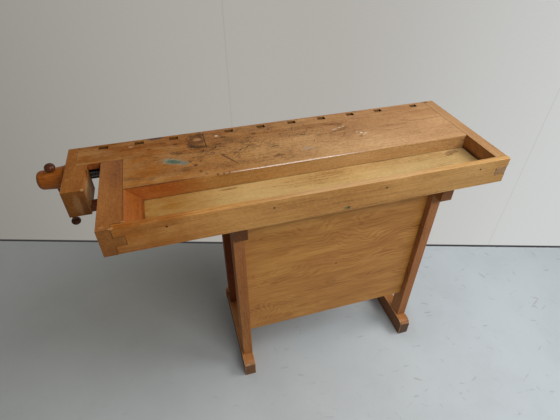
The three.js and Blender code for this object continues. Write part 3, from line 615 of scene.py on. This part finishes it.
def spot(mark):
    """A ragged spot of another colour on a face."""
    def layer(g, colour):
        place = place_of(g)
        turned = g.turn(place, -mark.turn, mark.place)
        reach = g.reach(turned, mark.place, Vector(mark.size) * MM)
        rough = g.noise(place, (160, 260, 260), detail=3, roughness=0.65)
        edge = g.shift(reach, rough, mark.rag)
        share = g.step(edge, 0.68, 1.08, mark.strength, 0.0)
        pores = g.noise(place, (420, 640, 640), detail=3, roughness=0.7)
        return g.mix(g.times(share, g.step(pores, 0.36, 0.6, 0.45, 1.0)), colour, mark.colour)
    return layer


def edge_mask(g, radius):
    """Where a surface comes near one of its own edges."""
    soft = g.node("ShaderNodeBevel", {"Radius": radius * MM}, samples=6).outputs[0]
    true = g.node("ShaderNodeNewGeometry").outputs["Normal"]
    return g.step(g.vector("DOT_PRODUCT", soft, true), 0.99, 0.82)


def facing_up(g):
    """Where a surface looks up."""
    return g.step(facing(g)[2], 0.5, 0.8)


def between(g, start, end, soft=0.05):
    """Where X lies between two places on the bench, with soft limits in metres."""
    x = g.split(place_of(g))[0]
    start, end = at(start).x, at(end).x
    rise = g.step(x, start - soft, start + soft)
    return g.times(rise, g.step(x, end + soft, end - soft))


def wear_edges(g, colour, tint, edge):
    """Edges rubbed to another tone, in broken stretches."""
    broken = g.step(g.noise(place_of(g), (30, 30, 30), detail=3), 0.35, 0.65)
    return g.mix(g.times(edge, broken, 0.5), colour, tint)


def corner_dirt_and_shade(g, colour, reach=14, strength=0.65):
    """Dirt and painted shade in the corners where pieces meet, where ambient occlusion finds them.
    """
    inputs = {"Distance": reach * MM}
    open_sky = g.node("ShaderNodeAmbientOcclusion", inputs, samples=8).outputs["AO"]
    return g.mix(g.step(open_sky, 0.55, 0.15, 0.0, strength), colour, DIRT_AND_SHADE)


def seam_dirt_and_shade(board, side, width=1.5):
    """A dark line along one side of a board: dirt settled in a glued joint, and painted shade where
    it lies wide in a corner of the tray.
    """
    axis = AXES.index(side[0])
    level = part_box(board)[side[1] == "+"][axis]

    def layer(g, colour):
        place = place_of(g)
        gap = g.math("ABSOLUTE", g.minus(g.split(place)[axis], level))
        broken = g.step(g.noise(place, (22, 22, 22), detail=3), 0.3, 0.6, 0.35, 1.0)
        share = g.times(g.step(gap, 0.0, width * MM, 0.55, 0.0), broken)
        return g.mix(share, colour, DIRT_AND_SHADE)
    return layer


def finger_lines(start, end, strength):
    """Dark lines round the fingers of a corner that lies between two places along X."""
    def layer(g, colour):
        inside = between(g, start, end, MM)
        return g.mix(g.times(edge_mask(g, 2.2), inside, strength), colour, DIRT_AND_SHADE)
    return layer


def shaded_holes(strip, face=False):
    """Painted shade inside the dog holes of a strip, or on their far side on the strip's face."""
    low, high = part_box(strip)

    def layer(g, colour):
        x, y, z = g.split(place_of(g))
        share = g.step(g.minus(TOP, z), 0.3 * MM, 3 * MM, 0.0, 0.5 if face else 0.95)
        for gap in (g.minus(x, low.x), g.minus(high.x, x), g.minus(z, low.z)):
            share = g.times(share, g.step(gap, 0.5 * MM, 1.0 * MM))
        if face:
            share = g.times(share, g.step(y, low.y + 0.6 * MM, low.y + 0.3 * MM))
        return g.mix(share, colour, HOLE_SHADE)
    return layer


def tray_arris(g):
    """The rounded edge above the tray, by the way it faces."""
    _, y, z = facing(g)
    return g.times(g.step(y, -0.12, -0.4), g.step(z, 0.12, 0.4))


# The polished middle of the edge above the tray: the mask for its coat and for its painted highlight
def polished_highlight_arris(g):
    return g.times(tray_arris(g), between(g, *POLISHED_HIGHLIGHT_EDGE, 0.09))


def darkened_highlighted_arris(g, colour):
    """The edge above the tray, darker at the left and with a painted highlight in the middle."""
    dirty = g.times(tray_arris(g), between(g, 40, 230), 0.6)
    colour = g.mix(dirty, colour, DIRT_AND_SHADE)
    return g.mix(g.times(polished_highlight_arris(g), 0.45), colour, ARRIS_HIGHLIGHT)


def shaded_tray_wall(g, colour):
    """The wall of the tray, tinted with painted warm shade: deep orange at the left and golden
    further on.
    """
    tint = g.mix(between(g, -200, 215, 0.12), GOLDEN, ORANGE)
    return g.mix(g.step(facing(g)[1], -0.5, -0.9), colour, tint, "MULTIPLY")


def rubbed_rail(g, colour):
    """The top of the tray rail, rubbed pale along its middle."""
    share = g.times(facing_up(g), between(g, 430, 850, 0.14), 0.5)
    return g.mix(share, colour, RUBBED)


def inside_light_and_foot_shade(g, colour):
    """The side of the right end cap in the tray, lightened with painted light, and darkened with
    painted shade near the tray's floor.
    """
    inside = g.step(facing(g)[0], -0.5, -0.9)
    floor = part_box("tray_bottom")[1].z
    foot = g.step(g.split(place_of(g))[2], floor + 1 * MM, floor + 14 * MM, 0.8, 0.0)
    colour = g.mix(inside, colour, INSIDE_LIGHT)
    return g.mix(g.times(inside, foot), colour, DIRT_AND_SHADE)


def bare_and_highlighted_arris(g, colour):
    """Edges of a foot rubbed through to pale wood, and a painted highlight on its rounded nose, in
    broken stretches.
    """
    broken = g.step(g.noise(place_of(g), (45, 45, 45), detail=3), 0.36, 0.56, 0.35, 1.0)
    rise = facing(g)[2]
    nose = g.times(g.step(rise, 0.3, 0.45), g.step(rise, 0.75, 0.6, 0.0, 0.7))
    share = g.times(g.math("MAXIMUM", edge_mask(g, 5.0), nose), broken, 0.8)
    return g.mix(share, colour, BARE_AND_HIGHLIGHT)


def scuffed_toe(tint):
    """The greyed ends of a foot, where shoes have knocked it, and its left side darkened by dark
    wood and painted shade.
    """
    def layer(g, colour):
        x, y, _ = facing(g)
        colour = g.mix(g.step(x, -0.5, -0.9), colour, DIRTY_SHADED_SIDE, "MULTIPLY")
        ends = g.step(g.math("ABSOLUTE", y), 0.5, 0.95)
        return g.mix(ends, colour, tint, "MULTIPLY")
    return layer


def paler_low(g, colour):
    """A post that grows paler towards the floor."""
    share = g.step(g.split(place_of(g))[2], 0.55, 0.1)
    return g.mix(share, colour, PALER_TINT, "MULTIPLY")


def handled_and_shaded(reach):
    """Wood darkened from the vise as far as a place along X, by hands and oil and by painted shade
    where less light reaches the vise end.
    """
    def layer(g, colour):
        place = place_of(g)
        cloud = g.noise(place, (13, 24, 24), detail=4, roughness=0.6)
        near = g.step(g.split(place)[0], at(reach).x, at(60).x, 0.0, 0.95)
        level = g.math("MULTIPLY_ADD", facing_up(g), 0.2, 0.8)
        share = g.times(near, level, g.step(cloud, 0.3, 0.65, 0.5, 1.05))
        return g.mix(share, colour, HANDLED_AND_SHADED, "MULTIPLY")
    return layer


def toned(start, end, tint):
    """Wood that takes on a tint along X, from none at one place to all of it at another."""
    def layer(g, colour):
        share = g.step(g.split(place_of(g))[0], at(start).x, at(end).x)
        return g.mix(share, colour, tint, "MULTIPLY")
    return layer


def grimy_edge(g, colour):
    """The far side of the top, round the dog holes, which is darker and redder."""
    place = place_of(g)
    x, y, _ = g.split(place)
    cloud = g.noise(place, (12, 20, 20), detail=4, roughness=0.65)
    far = g.step(y, at(0, 215).y, at(0, 355).y, 0.0, 0.95)
    right = g.step(x, at(60).x, at(320).x, 0.35, 1.0)
    share = g.times(far, right, g.step(cloud, 0.3, 0.6, 0.6, 1.0))
    return g.mix(share, colour, GRIMY, "MULTIPLY")


def wood(piece, grain, palette, centre=None, ring=3.4, pith=(18, -70), figure=0.3, mottle=1.1,
         stripe=0.9, speckle=0.5, gloss=(0.36, 0.52), shine=0.24, end_tint=None, layers=(),
         polish=None):
    """The wood of one piece, with its grain along an axis and its pith off the piece's middle."""
    low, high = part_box(piece)
    middle = centre or (low + high) / 2
    material, g, output = new_material("wood_" + piece)
    coords = g.node("ShaderNodeTexCoord").outputs
    offset = g.split(g.vector("SUBTRACT", coords["Object"], middle))
    order = GRAIN_ORDER[grain]
    inputs = {
        "Place": g.join(*(offset[i] for i in order)),
        "Seed": wood_seed(piece),
        "Pith": Vector((0, pith[0] * MM, pith[1] * MM)),
        "Ring": ring * MM, "Figure": figure, "Mottle": mottle,
        "Stripe": stripe, "Speckle": speckle,
        "Light": palette.light, "Mid": palette.mid, "Dark": palette.dark,
    }
    made = g.node("ShaderNodeGroup", inputs, node_tree=SOLID_WOOD)
    across = g.math("ABSOLUTE", g.split(coords["Normal"])[order[0]])
    ends = g.step(across, 0.6, 0.95)
    colour = g.mix(ends, made.outputs["Colour"], end_tint or END_GRAIN, "MULTIPLY")
    edge = edge_mask(g, 4.0)
    colour = wear_edges(g, colour, palette.light, edge)
    for layer in layers:
        colour = layer(g, colour)
    # Dirt and painted shade in the corners
    colour = corner_dirt_and_shade(g, colour)
    rough = g.step(made.outputs["Fibre"], 0.3, 0.7, *gloss)
    rough = g.times(rough, g.math("MULTIPLY_ADD", edge, -0.4, 1.0))
    normal = g.bump(made.outputs["Height"], 0.35, 0.5 * MM)
    coat = {"Coat_Weight": polish(g), "Coat_Roughness": 0.2, "Coat_IOR": 1.75} if polish else {}
    shader(g, output, Base_Color=colour, Roughness=rough, Specular_IOR_Level=shine, Normal=normal,
           **coat)
    return material


def use_marks(board):
    """The marks that lie on a board, as layers of its wood."""
    low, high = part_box(board)
    layers = []
    for mark in MARKS:
        reach = max(mark.size) * MM
        if all(low[i] - reach < mark.place[i] < high[i] + reach for i in range(3)):
            layers.append(spot(mark))
    return layers


def work_grime(g, colour):
    """Smears, specks and cuts where the work was done, thickest to the right of the vise jaw."""
    place = place_of(g)
    reach = g.reach(place, at(405, 290), (0.30, 0.13, 1))
    near = g.times(g.step(reach, 0.15, 1.35, 1.0, 0.14), facing_up(g))
    smear = g.noise(place, (11, 26, 26), detail=5, roughness=0.7, distortion=0.4)
    colour = g.mix(g.times(g.step(smear, 0.48, 0.72), near, 0.5), colour, SMEAR)
    specks = g.noise(place, (80, 190, 190), detail=4, roughness=0.75)
    colour = g.mix(g.times(g.step(specks, 0.55, 0.65), near, 0.85), colour, SPECK)
    patches = g.step(g.noise(place, (17, 23, 23), detail=2), 0.41, 0.58)
    for angle, seed, along in CUTS:
        lines = scratches(g, place, angle, seed, across=300, along=along)
        share = g.times(g.step(lines, 0.65, 0.69), near, patches, 0.95)
        colour = g.mix(share, colour, CUT)
    return colour


def ply_material(piece):
    """Rotary-cut veneer: level lines that a slow swell bends, over thin plies."""
    low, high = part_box(piece)
    material, g, output = new_material("wood_" + piece)
    coords = g.node("ShaderNodeTexCoord").outputs
    seeded = g.vector("ADD", coords["Object"], wood_seed(piece))
    x, y, z = g.split(coords["Object"])
    swell = g.noise(seeded, (5.5, 1, 8), detail=2, roughness=0.45, distortion=0.25)
    ripple = g.noise(seeded, (18, 1, 55), detail=3, roughness=0.55)
    loops = g.step(x, low.x + 0.04, low.x + 0.2, 24, 10)
    phase = g.shift(g.times(z, 62), swell, loops)
    phase = g.math("MULTIPLY_ADD", ripple, 1.8, phase)
    late = g.step(g.math("SINE", g.times(phase, 2 * math.pi)), -0.6, 1.0)
    years = g.noise(seeded, (2, 1, 30), detail=2)
    late = g.times(late, g.step(years, 0.35, 0.65, 0.1, 1.0))
    fibre = g.noise(seeded, (7, 1, 300), detail=4, roughness=0.65)
    cloud = g.noise(seeded, (6, 1, 26), detail=3, roughness=0.6, distortion=0.6)
    tone = g.shift(g.shift(0.62, cloud, 1.0), fibre, 0.95)
    tone = g.minus(tone, g.times(late, 0.22))
    colour = g.mix(g.step(tone, 0.0, 0.5), PLY_WOOD.dark, PLY_WOOD.mid)
    colour = g.mix(g.step(tone, 0.4, 1.0), colour, PLY_WOOD.light)
    for layer in use_marks(piece):
        colour = layer(g, colour)
    depth = g.math("DIVIDE", g.minus(y, low.y), high.y - low.y)
    plies = g.math("SINE", g.times(depth, 5 * math.pi))
    core = g.mix(g.step(plies, -0.2, 0.2), PLY_CORE, PLY_GLUE)
    edge = g.step(g.math("ABSOLUTE", g.split(coords["Normal"])[1]), 0.5, 0.3)
    # Dirt and painted shade in the corners, then a wide painted shadow of the rail over the top of
    # the panel
    colour = corner_dirt_and_shade(g, g.mix(edge, colour, core))
    colour = corner_dirt_and_shade(g, colour, reach=90, strength=0.45)
    normal = g.bump(g.math("MULTIPLY_ADD", late, -0.3, fibre), 0.25, 0.4 * MM)
    rough = g.step(fibre, 0.3, 0.7, 0.36, 0.5)
    shader(g, output, Base_Color=colour, Roughness=rough, Specular_IOR_Level=0.32, Normal=normal)
    return material


def steel_material():
    """Dull oiled steel with a bloom of rust."""
    material, g, output = new_material("dark_steel")
    place = place_of(g)
    rust = g.step(g.noise(place, (90, 90, 90), detail=4, roughness=0.7), 0.5, 0.75)
    brush = g.noise(place, (60, 900, 900), detail=2)
    colour = g.mix(g.times(rust, 0.6), g.mix(brush, DARK_STEEL, STEEL), RUST)
    rough = g.math("MULTIPLY_ADD", rust, 0.3, g.step(brush, 0.3, 0.7, 0.3, 0.45))
    metal = g.minus(1.0, g.times(rust, 0.7))
    shader(g, output, Base_Color=colour, Roughness=rough, Metallic=metal)
    return material


# Boards

def new_piece(name, mesh, body, slot, *replaced):
    piece = add(name, mesh)
    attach(piece, body)
    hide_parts(*replaced)
    return piece


def on_side(edge, side, low, high):
    """Whether an edge lies in the face of a board's box that a name such as z+ gives."""
    axis = AXES.index(side[0])
    level = (high if side[1] == "+" else low)[axis]
    return all(abs(vert.co[axis] - level) < SIDE_SLACK for vert in edge.verts)


def edge_width(edge, low, high, ease, flush, worn):
    """How far an edge is rounded, in millimetres."""
    if len(edge.link_faces) != 2 or not edge.is_convex or edge.calc_face_angle() < SHARP_ANGLE:
        return 0.0
    if any(on_side(edge, side, low, high) for side in flush):
        return FLUSH
    for pair, width in worn.items():
        if all(on_side(edge, side, low, high) for side in pair.split()):
            return width
    return ease


def dress(node, material, ease=EASED, flush=(), worn=None):
    """A copy of a solid with eased edges. Sides that are glued to a neighbour stay crisp."""
    record = next(part for part in frame["record"]["subparts"] if part["node"] == node)
    source = frame["nodes"][node]
    low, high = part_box(node)
    solid = bmesh.new()
    solid.from_mesh(source.data)
    bmesh.ops.remove_doubles(solid, verts=solid.verts, dist=WELD)
    bmesh.ops.dissolve_limit(solid, angle_limit=FLAT_ANGLE, verts=solid.verts, edges=solid.edges)
    solid.normal_update()
    weights = solid.edges.layers.float.new("bevel_weight_edge")
    widths = {edge: edge_width(edge, low, high, ease, flush, worn or {}) for edge in solid.edges}
    widest = max(max(widths.values()), FLUSH)
    for edge, width in widths.items():
        edge[weights] = width / widest
    for face in solid.faces:
        face.smooth = True
    mesh = bpy.data.meshes.new(node + "_dressed")
    solid.to_mesh(mesh)
    solid.free()
    mesh.materials.clear()
    mesh.materials.append(material)
    piece = new_piece(node + "_dressed", mesh, source["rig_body"], record["material_slot"], node)
    bevel = piece.modifiers.new("eased", "BEVEL")
    bevel.limit_method = "WEIGHT"
    bevel.width = widest * MM
    bevel.segments = BEVEL_STEPS
    piece.modifiers.new("flat_faces", "WEIGHTED_NORMAL").keep_sharp = True
    return piece


# Kinds of figure: on the top, and round the vise
FINE = {"stripe": 0.7, "speckle": 0.8}
MOTTLED = {"stripe": 0.5, "speckle": 0.95, "mottle": 1.5}

Board = namedtuple(
    "Board", "node grain palette pith figure flush worn layers",
    defaults=((18, -70), 0.3, (), {}, ()),
)


def dress_board(board, **finish):
    """Gives a board its wood, dark lines along its glued sides and eased edges elsewhere."""
    seams = [seam_dirt_and_shade(board.node, side) for side in board.flush]
    layers = [*board.layers, *use_marks(board.node), *seams]
    material = wood(board.node, board.grain, board.palette, pith=board.pith, figure=board.figure,
                    layers=layers, **finish)
    return dress(board.node, material, flush=board.flush, worn=board.worn)


def make_top():
    work = (handled_and_shaded(640), toned(840, 240, OILED), grimy_edge, work_grime)
    left_corner = finger_lines(0, 60, 0.95)
    right_corner = finger_lines(1063, 1101, 0.35)
    left_worn = {"x- z+": WORN, "y- x-": WORN, "y+ x-": WORN, "x- z-": WORN_LESS}
    right_worn = {"x+ z+": WORN, "y- x+": WORN, "y+ x+": WORN, "x+ z-": WORN_LESS}
    rail_worn = {"y- z+": WORN, "y+ z+": WORN, "y- z-": WORN_LESS}
    rail = Board("tray_rail", "x", EDGE_WOOD, (-30, -60), 0.28, (), rail_worn,
                 (handled_and_shaded(450), toned(600, 1000, DULLED), rubbed_rail, left_corner, right_corner))
    drilled = dress_board(rail)
    for x, z in NAILS:
        cut_bore(drilled, at(x, 0, z), Vector((0, 1, 0)), NAIL_RADIUS, NAIL_DEPTH)
    keep_creases(drilled)
    boards = []
    for node, pith, flush, face in (
        ("dog_strip", (30, -90), ("x+",), False),
        ("dog_strip_face", (-40, 60), (), True),
        ("vise_jaw_strip", (40, -100), ("x-", "x+"), False),
        ("vise_jaw_face", (40, -60), ("x-", "x+"), True),
    ):
        worn = {"y+ z+": WORN_FAR} if face else {}
        layers = (*work, shaded_holes(node, face))
        boards.append(Board(node, "x", TOP_WOOD, pith, 0.3, flush, worn, layers))
    boards += [
        Board("vise_cover_plate", "x", TOP_WOOD, (40, -80), 0.3, ("y-", "x-", "x+"), {},
              (*work, shaded_tray_wall)),
        Board("tray_ramp", "y", RAMP_WOOD, (18, -70), 0.35, ("x-",), {},
              # Painted shade at the foot of the ramp
              (seam_dirt_and_shade("tray_ramp", "x+", 9),)),
    ]
    for board in boards:
        shine = 0.12 if board.node.startswith("vise") else 0.22
        dress_board(board, shine=shine, **FINE)
    tray = Board("tray_bottom", "x", TRAY_WOOD, (20, -45), 0.14, (), {},
                 (handled_and_shaded(430), toned(430, 60, GOLDEN), toned(620, 940, DULLED),
                  # Painted shade along the corners of the tray
                  seam_dirt_and_shade("right_end_cap", "x-", 7), seam_dirt_and_shade("top_slab", "y-", 4)))
    dress_board(tray, stripe=0.5, speckle=0.6, mottle=1.2, shine=0.22)
    right_cap = Board("right_end_cap", "y", CAP_WOOD, (25, -55), 0.3, ("x-",), right_worn,
                      (inside_light_and_foot_shade, right_corner))
    dress_board(right_cap, end_tint=DULL_END)
    left_cap = Board("left_end_cap", "y", VISE_WOOD, (25, -55), 0.16, (), left_worn, (left_corner,))
    dress_board(left_cap, end_tint=PALE_END, **MOTTLED)
    slab_worn = {"y- z+": SLAB_ARRIS}
    slab = Board("top_slab", "x", TOP_WOOD, (60, -130), 0.22, ("x-", "x+"), slab_worn,
                 (*work, shaded_tray_wall, darkened_highlighted_arris))
    dress_board(slab, polish=polished_highlight_arris, shine=0.16, **FINE)


def make_vise_block():
    block_worn = {"x- z+": WORN, "y- z+": WORN, "y- x-": WORN, "y+ z+": WORN, "x+ z+": WORN_LESS}
    for board in (
        Board("vise_jaw_head", "y", VISE_WOOD),
        Board("vise_guide_bar", "x", FAR_SHADED_WOOD),
        Board("vise_runner", "x", BASE_WOOD),
    ):
        dress_board(board)
    block = Board("vise_end_block", "y", VISE_WOOD, (20, 45), 0.18, (), block_worn)
    dress_board(block, gloss=(0.5, 0.65), shine=0.12, **MOTTLED)


def make_base():
    foot_worn = dict.fromkeys(("x- z+", "x+ z+", "y- x-", "y- x+"), WORN_FOOT)
    post_worn = {"y- x-": WORN_LESS, "y- x+": WORN_LESS}
    for side, bearer_wood, post_wood, post_layers, scuff in (
        ("left", BEARER_SHADED_WOOD, BASE_WOOD, (paler_low,), LEFT_SCUFF),
        ("right", BASE_WOOD, RIGHT_WOOD, (), RIGHT_SCUFF),
    ):
        dress_board(Board(f"{side}_foot", "y", FOOT_WOOD, (20, 40), 0.3, (), foot_worn,
                          (scuffed_toe(scuff), bare_and_highlighted_arris)))
        dress_board(Board(f"{side}_bearer", "y", bearer_wood, (20, 40)), shine=0.15)
        for row, palette, layers in (("near", post_wood, post_layers), ("far", FAR_SHADED_WOOD, ())):
            post = Board(f"{side}_{row}_post", "z", palette, (30, 25), 0.12, (), post_worn, layers)
            dress_board(post, gloss=(0.55, 0.7), shine=0.1, stripe=0.6, speckle=0.75)
        dress_board(Board(f"{side}_locating_pin", "z", BASE_WOOD))
        peg_wood = wood(f"{side}_stretcher_peg", "y", HUB_WOOD)
        dress(f"{side}_stretcher_peg", peg_wood, ease=EASED_PEG)
    dress_board(Board("far_stretcher", "x", BASE_WOOD))
    dress("back_panel", ply_material("back_panel"), ease=EASED_PANEL)


# Turned and threaded pieces

SCREW_LINE = (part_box("vise_screw")[0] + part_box("vise_screw")[1]) / 2
BAR_JOINT = next(joint for joint in frame["joints"] if joint["name"] == "bar_slide")
BAR_UP = Vector(BAR_JOINT["axis"]).normalized()
BAR_FOOT = Vector((
    (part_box("tommy_bar")[0].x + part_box("tommy_bar")[1].x) / 2, SCREW_LINE.y, SCREW_LINE.z,
))
OUTWARD = Vector((-1, 0, 0))


def measure(node, foot, axis):
    """How far a solid reaches along a line through a foot point, and its radius about it."""
    along, radius = [], 0.0
    for vert in frame["nodes"][node].data.vertices:
        offset = vert.co - foot
        share = offset.dot(axis)
        along.append(share)
        radius = max(radius, (offset - share * axis).length)
    return min(along), max(along), radius


def smooth(mesh, material):
    """A mesh with soft shading and its material."""
    mesh.polygons.foreach_set("use_smooth", [True] * len(mesh.polygons))
    mesh.materials.append(material)
    return mesh


def turned_mesh(name, profile, foot, axis, material):
    """A closed turned form: the profile gives a radius and a distance along the axis."""
    side = axis.orthogonal().normalized()
    over = axis.cross(side)
    steps = ROUND_STEPS
    verts, faces = [], []
    for radius, along in profile:
        for k in range(steps):
            angle = 2 * math.pi * k / steps
            spoke = math.cos(angle) * side + math.sin(angle) * over
            verts.append(foot + axis * along + spoke * radius)
    for ring in range(len(profile) - 1):
        for k in range(steps):
            a, b = ring * steps + k, ring * steps + (k + 1) % steps
            faces.append((a, b, b + steps, a + steps))
    last = (len(profile) - 1) * steps
    faces.append(tuple(reversed(range(steps))))
    faces.append(tuple(range(last, last + steps)))
    mesh = bpy.data.meshes.new(name)
    mesh.from_pydata(verts, [], faces)
    return smooth(mesh, material)


def arc(radius, centre_radius, centre_along, start, end, steps):
    """Points of a part round of a turned profile, with angles in degrees."""
    angles = [math.radians(start + (end - start) * i / steps) for i in range(steps + 1)]
    return [(centre_radius + radius * math.cos(angle), centre_along + radius * math.sin(angle))
            for angle in angles]


def keep_creases(piece):
    piece.modifiers.new("flat_faces", "WEIGHTED_NORMAL").keep_sharp = True
    piece.data.set_sharp_from_angle(angle=CREASE_ANGLE)


def cut_bore(piece, foot, axis, radius, reach):
    """Drills a round hole into a piece, as deep as it reaches either way from a foot point."""
    profile = [(radius, -reach), (radius, reach)]
    mesh = turned_mesh("drill", profile, foot, axis, piece.data.materials[0])
    drill = add("drill", mesh)
    bore = piece.modifiers.new("bore", "BOOLEAN")
    bore.object = drill
    bore.solver = "EXACT"
    drilled = piece.evaluated_get(bpy.context.evaluated_depsgraph_get())
    settled = bpy.data.meshes.new_from_object(drilled)
    piece.modifiers.clear()
    piece.data = settled
    bpy.data.objects.remove(drill)


def make_hub():
    """The turned hub: a bead, a groove and a rounded nose, with a bore for the bar."""
    start, end, radius = measure("screw_hub", SCREW_LINE, OUTWARD)
    neck = radius - 2 * GROOVE_DEPTH
    groove = start + HUB_BEAD
    profile = [
        (HUB_TIP, start),
        (radius - HUB_EASE, start),
        *arc(HUB_EASE, radius - HUB_EASE, start + HUB_EASE, -90, 0, 4),
        *arc(BEAD_ROUNDING, radius - BEAD_ROUNDING, groove - BEAD_ROUNDING, 0, 80, 5),
        (neck, groove + GROOVE_START),
        (neck, groove + GROOVE_END),
        (radius - GROOVE_DEPTH, groove + GROOVE_LIP),
        *arc(HUB_ROUNDING, HUB_NOSE - HUB_ROUNDING, end - HUB_ROUNDING, 0, 90, 14),
        (HUB_TIP, end),
    ]
    middle = SCREW_LINE + OUTWARD * (start + end) / 2
    material = wood("screw_hub", "x", HUB_WOOD, centre=middle, pith=(9, -14), figure=0.16,
                    gloss=(0.28, 0.42))
    mesh = turned_mesh("hub_turning", profile, SCREW_LINE, OUTWARD, material)
    piece = new_piece("screw_hub_turned", mesh, "vise_screw", "turned_wood", "screw_hub")
    bar_radius = measure("tommy_bar", BAR_FOOT, BAR_UP)[2]
    cut_bore(piece, BAR_FOOT, BAR_UP, bar_radius + BORE_GAP, 2 * radius)
    keep_creases(piece)


def make_bar():
    """The tommy bar, and on each end a knob that is a ball with a flat where the bar enters."""
    start, end, radius = measure("tommy_bar", BAR_FOOT, BAR_UP)
    material = wood("tommy_bar", "z", KNOB_WOOD, gloss=(0.3, 0.45))
    mesh = turned_mesh("bar_turning", [(radius, start), (radius, end)], BAR_FOOT, BAR_UP, material)
    bar = new_piece("tommy_bar_turned", mesh, "tommy_bar", "knob_wood", "tommy_bar")
    keep_creases(bar)
    flat = math.acos(KNOB_FLAT)
    sine = math.sin(flat)
    for node, direction in (("upper_bar_knob", BAR_UP), ("lower_bar_knob", -BAR_UP)):
        low, high, knob_radius = measure(node, BAR_FOOT, direction)
        profile = [(radius * KNOB_SEAT, low)]
        for i in range(KNOB_STEPS + 1):
            angle = -flat + (math.pi / 2 + flat) * i / KNOB_STEPS
            rise = (math.sin(angle) + sine) / (1 + sine)
            profile.append((max(knob_radius * math.cos(angle), KNOB_TIP), low + (high - low) * rise))
        knob_wood = wood(node, "z", KNOB_WOOD, gloss=(0.2, 0.34), ring=2.2, pith=(4, -6))
        knob_mesh = turned_mesh(node + "_turning", profile, BAR_FOOT, direction, knob_wood)
        knob = new_piece(node + "_turned", knob_mesh, "tommy_bar", "knob_wood", node)
        keep_creases(knob)


def thread_mesh(name, foot, axis, start, end, radius, material):
    """A right-hand trapezoid thread wound round a core, closed at both ends."""
    side = axis.orthogonal().normalized()
    over = axis.cross(side)
    turns = int((end - start) / THREAD_PITCH) + 2
    stations = [(turn - 1 + share, dip) for turn in range(turns + 1) for share, dip in THREAD_FORM]
    verts, faces, rows = [], [], []
    for share, dip in stations:
        row = []
        for k in range(THREAD_STEPS + 1):
            angle = 2 * math.pi * k / THREAD_STEPS
            along = start + (share + k / THREAD_STEPS) * THREAD_PITCH
            along = min(max(along, start), end)
            spoke = math.cos(angle) * side + math.sin(angle) * over
            row.append(len(verts))
            verts.append(foot + axis * along + spoke * (radius - THREAD_DEPTH * dip))
        rows.append(row)
    for one, two in zip(rows, rows[1:]):
        for k in range(THREAD_STEPS):
            faces.append((one[k], one[k + 1], two[k + 1], two[k]))
    mesh = bpy.data.meshes.new(name)
    mesh.from_pydata(verts, [], faces)
    solid = bmesh.new()
    solid.from_mesh(mesh)
    bmesh.ops.remove_doubles(solid, verts=solid.verts, dist=THREAD_WELD)
    bmesh.ops.dissolve_degenerate(solid, edges=solid.edges, dist=THREAD_WELD)
    bmesh.ops.holes_fill(solid, edges=[edge for edge in solid.edges if edge.is_boundary])
    bmesh.ops.recalc_face_normals(solid, faces=solid.faces)
    solid.to_mesh(mesh)
    solid.free()
    return smooth(mesh, material)


def make_screw(steel):
    start, end, radius = measure("vise_screw", SCREW_LINE, -OUTWARD)
    mesh = thread_mesh("screw_thread", SCREW_LINE, -OUTWARD, start, end, radius, steel)
    screw = new_piece("vise_screw_threaded", mesh, "vise_screw", "dark_steel", "vise_screw")
    screw.data.set_sharp_from_angle(angle=CREASE_ANGLE)
    dress("screw_collar", steel, ease=EASED_STEEL)
    dress("vise_nut", steel, ease=EASED_STEEL)
    for side in ("left", "right"):
        for index in (1, 2):
            dress(f"{side}_cap_bolt_{index}", steel, ease=EASED_BOLT)


make_camera()
make_stage()
make_top()
make_vise_block()
make_base()
make_hub()
make_bar()
make_screw(steel_material())
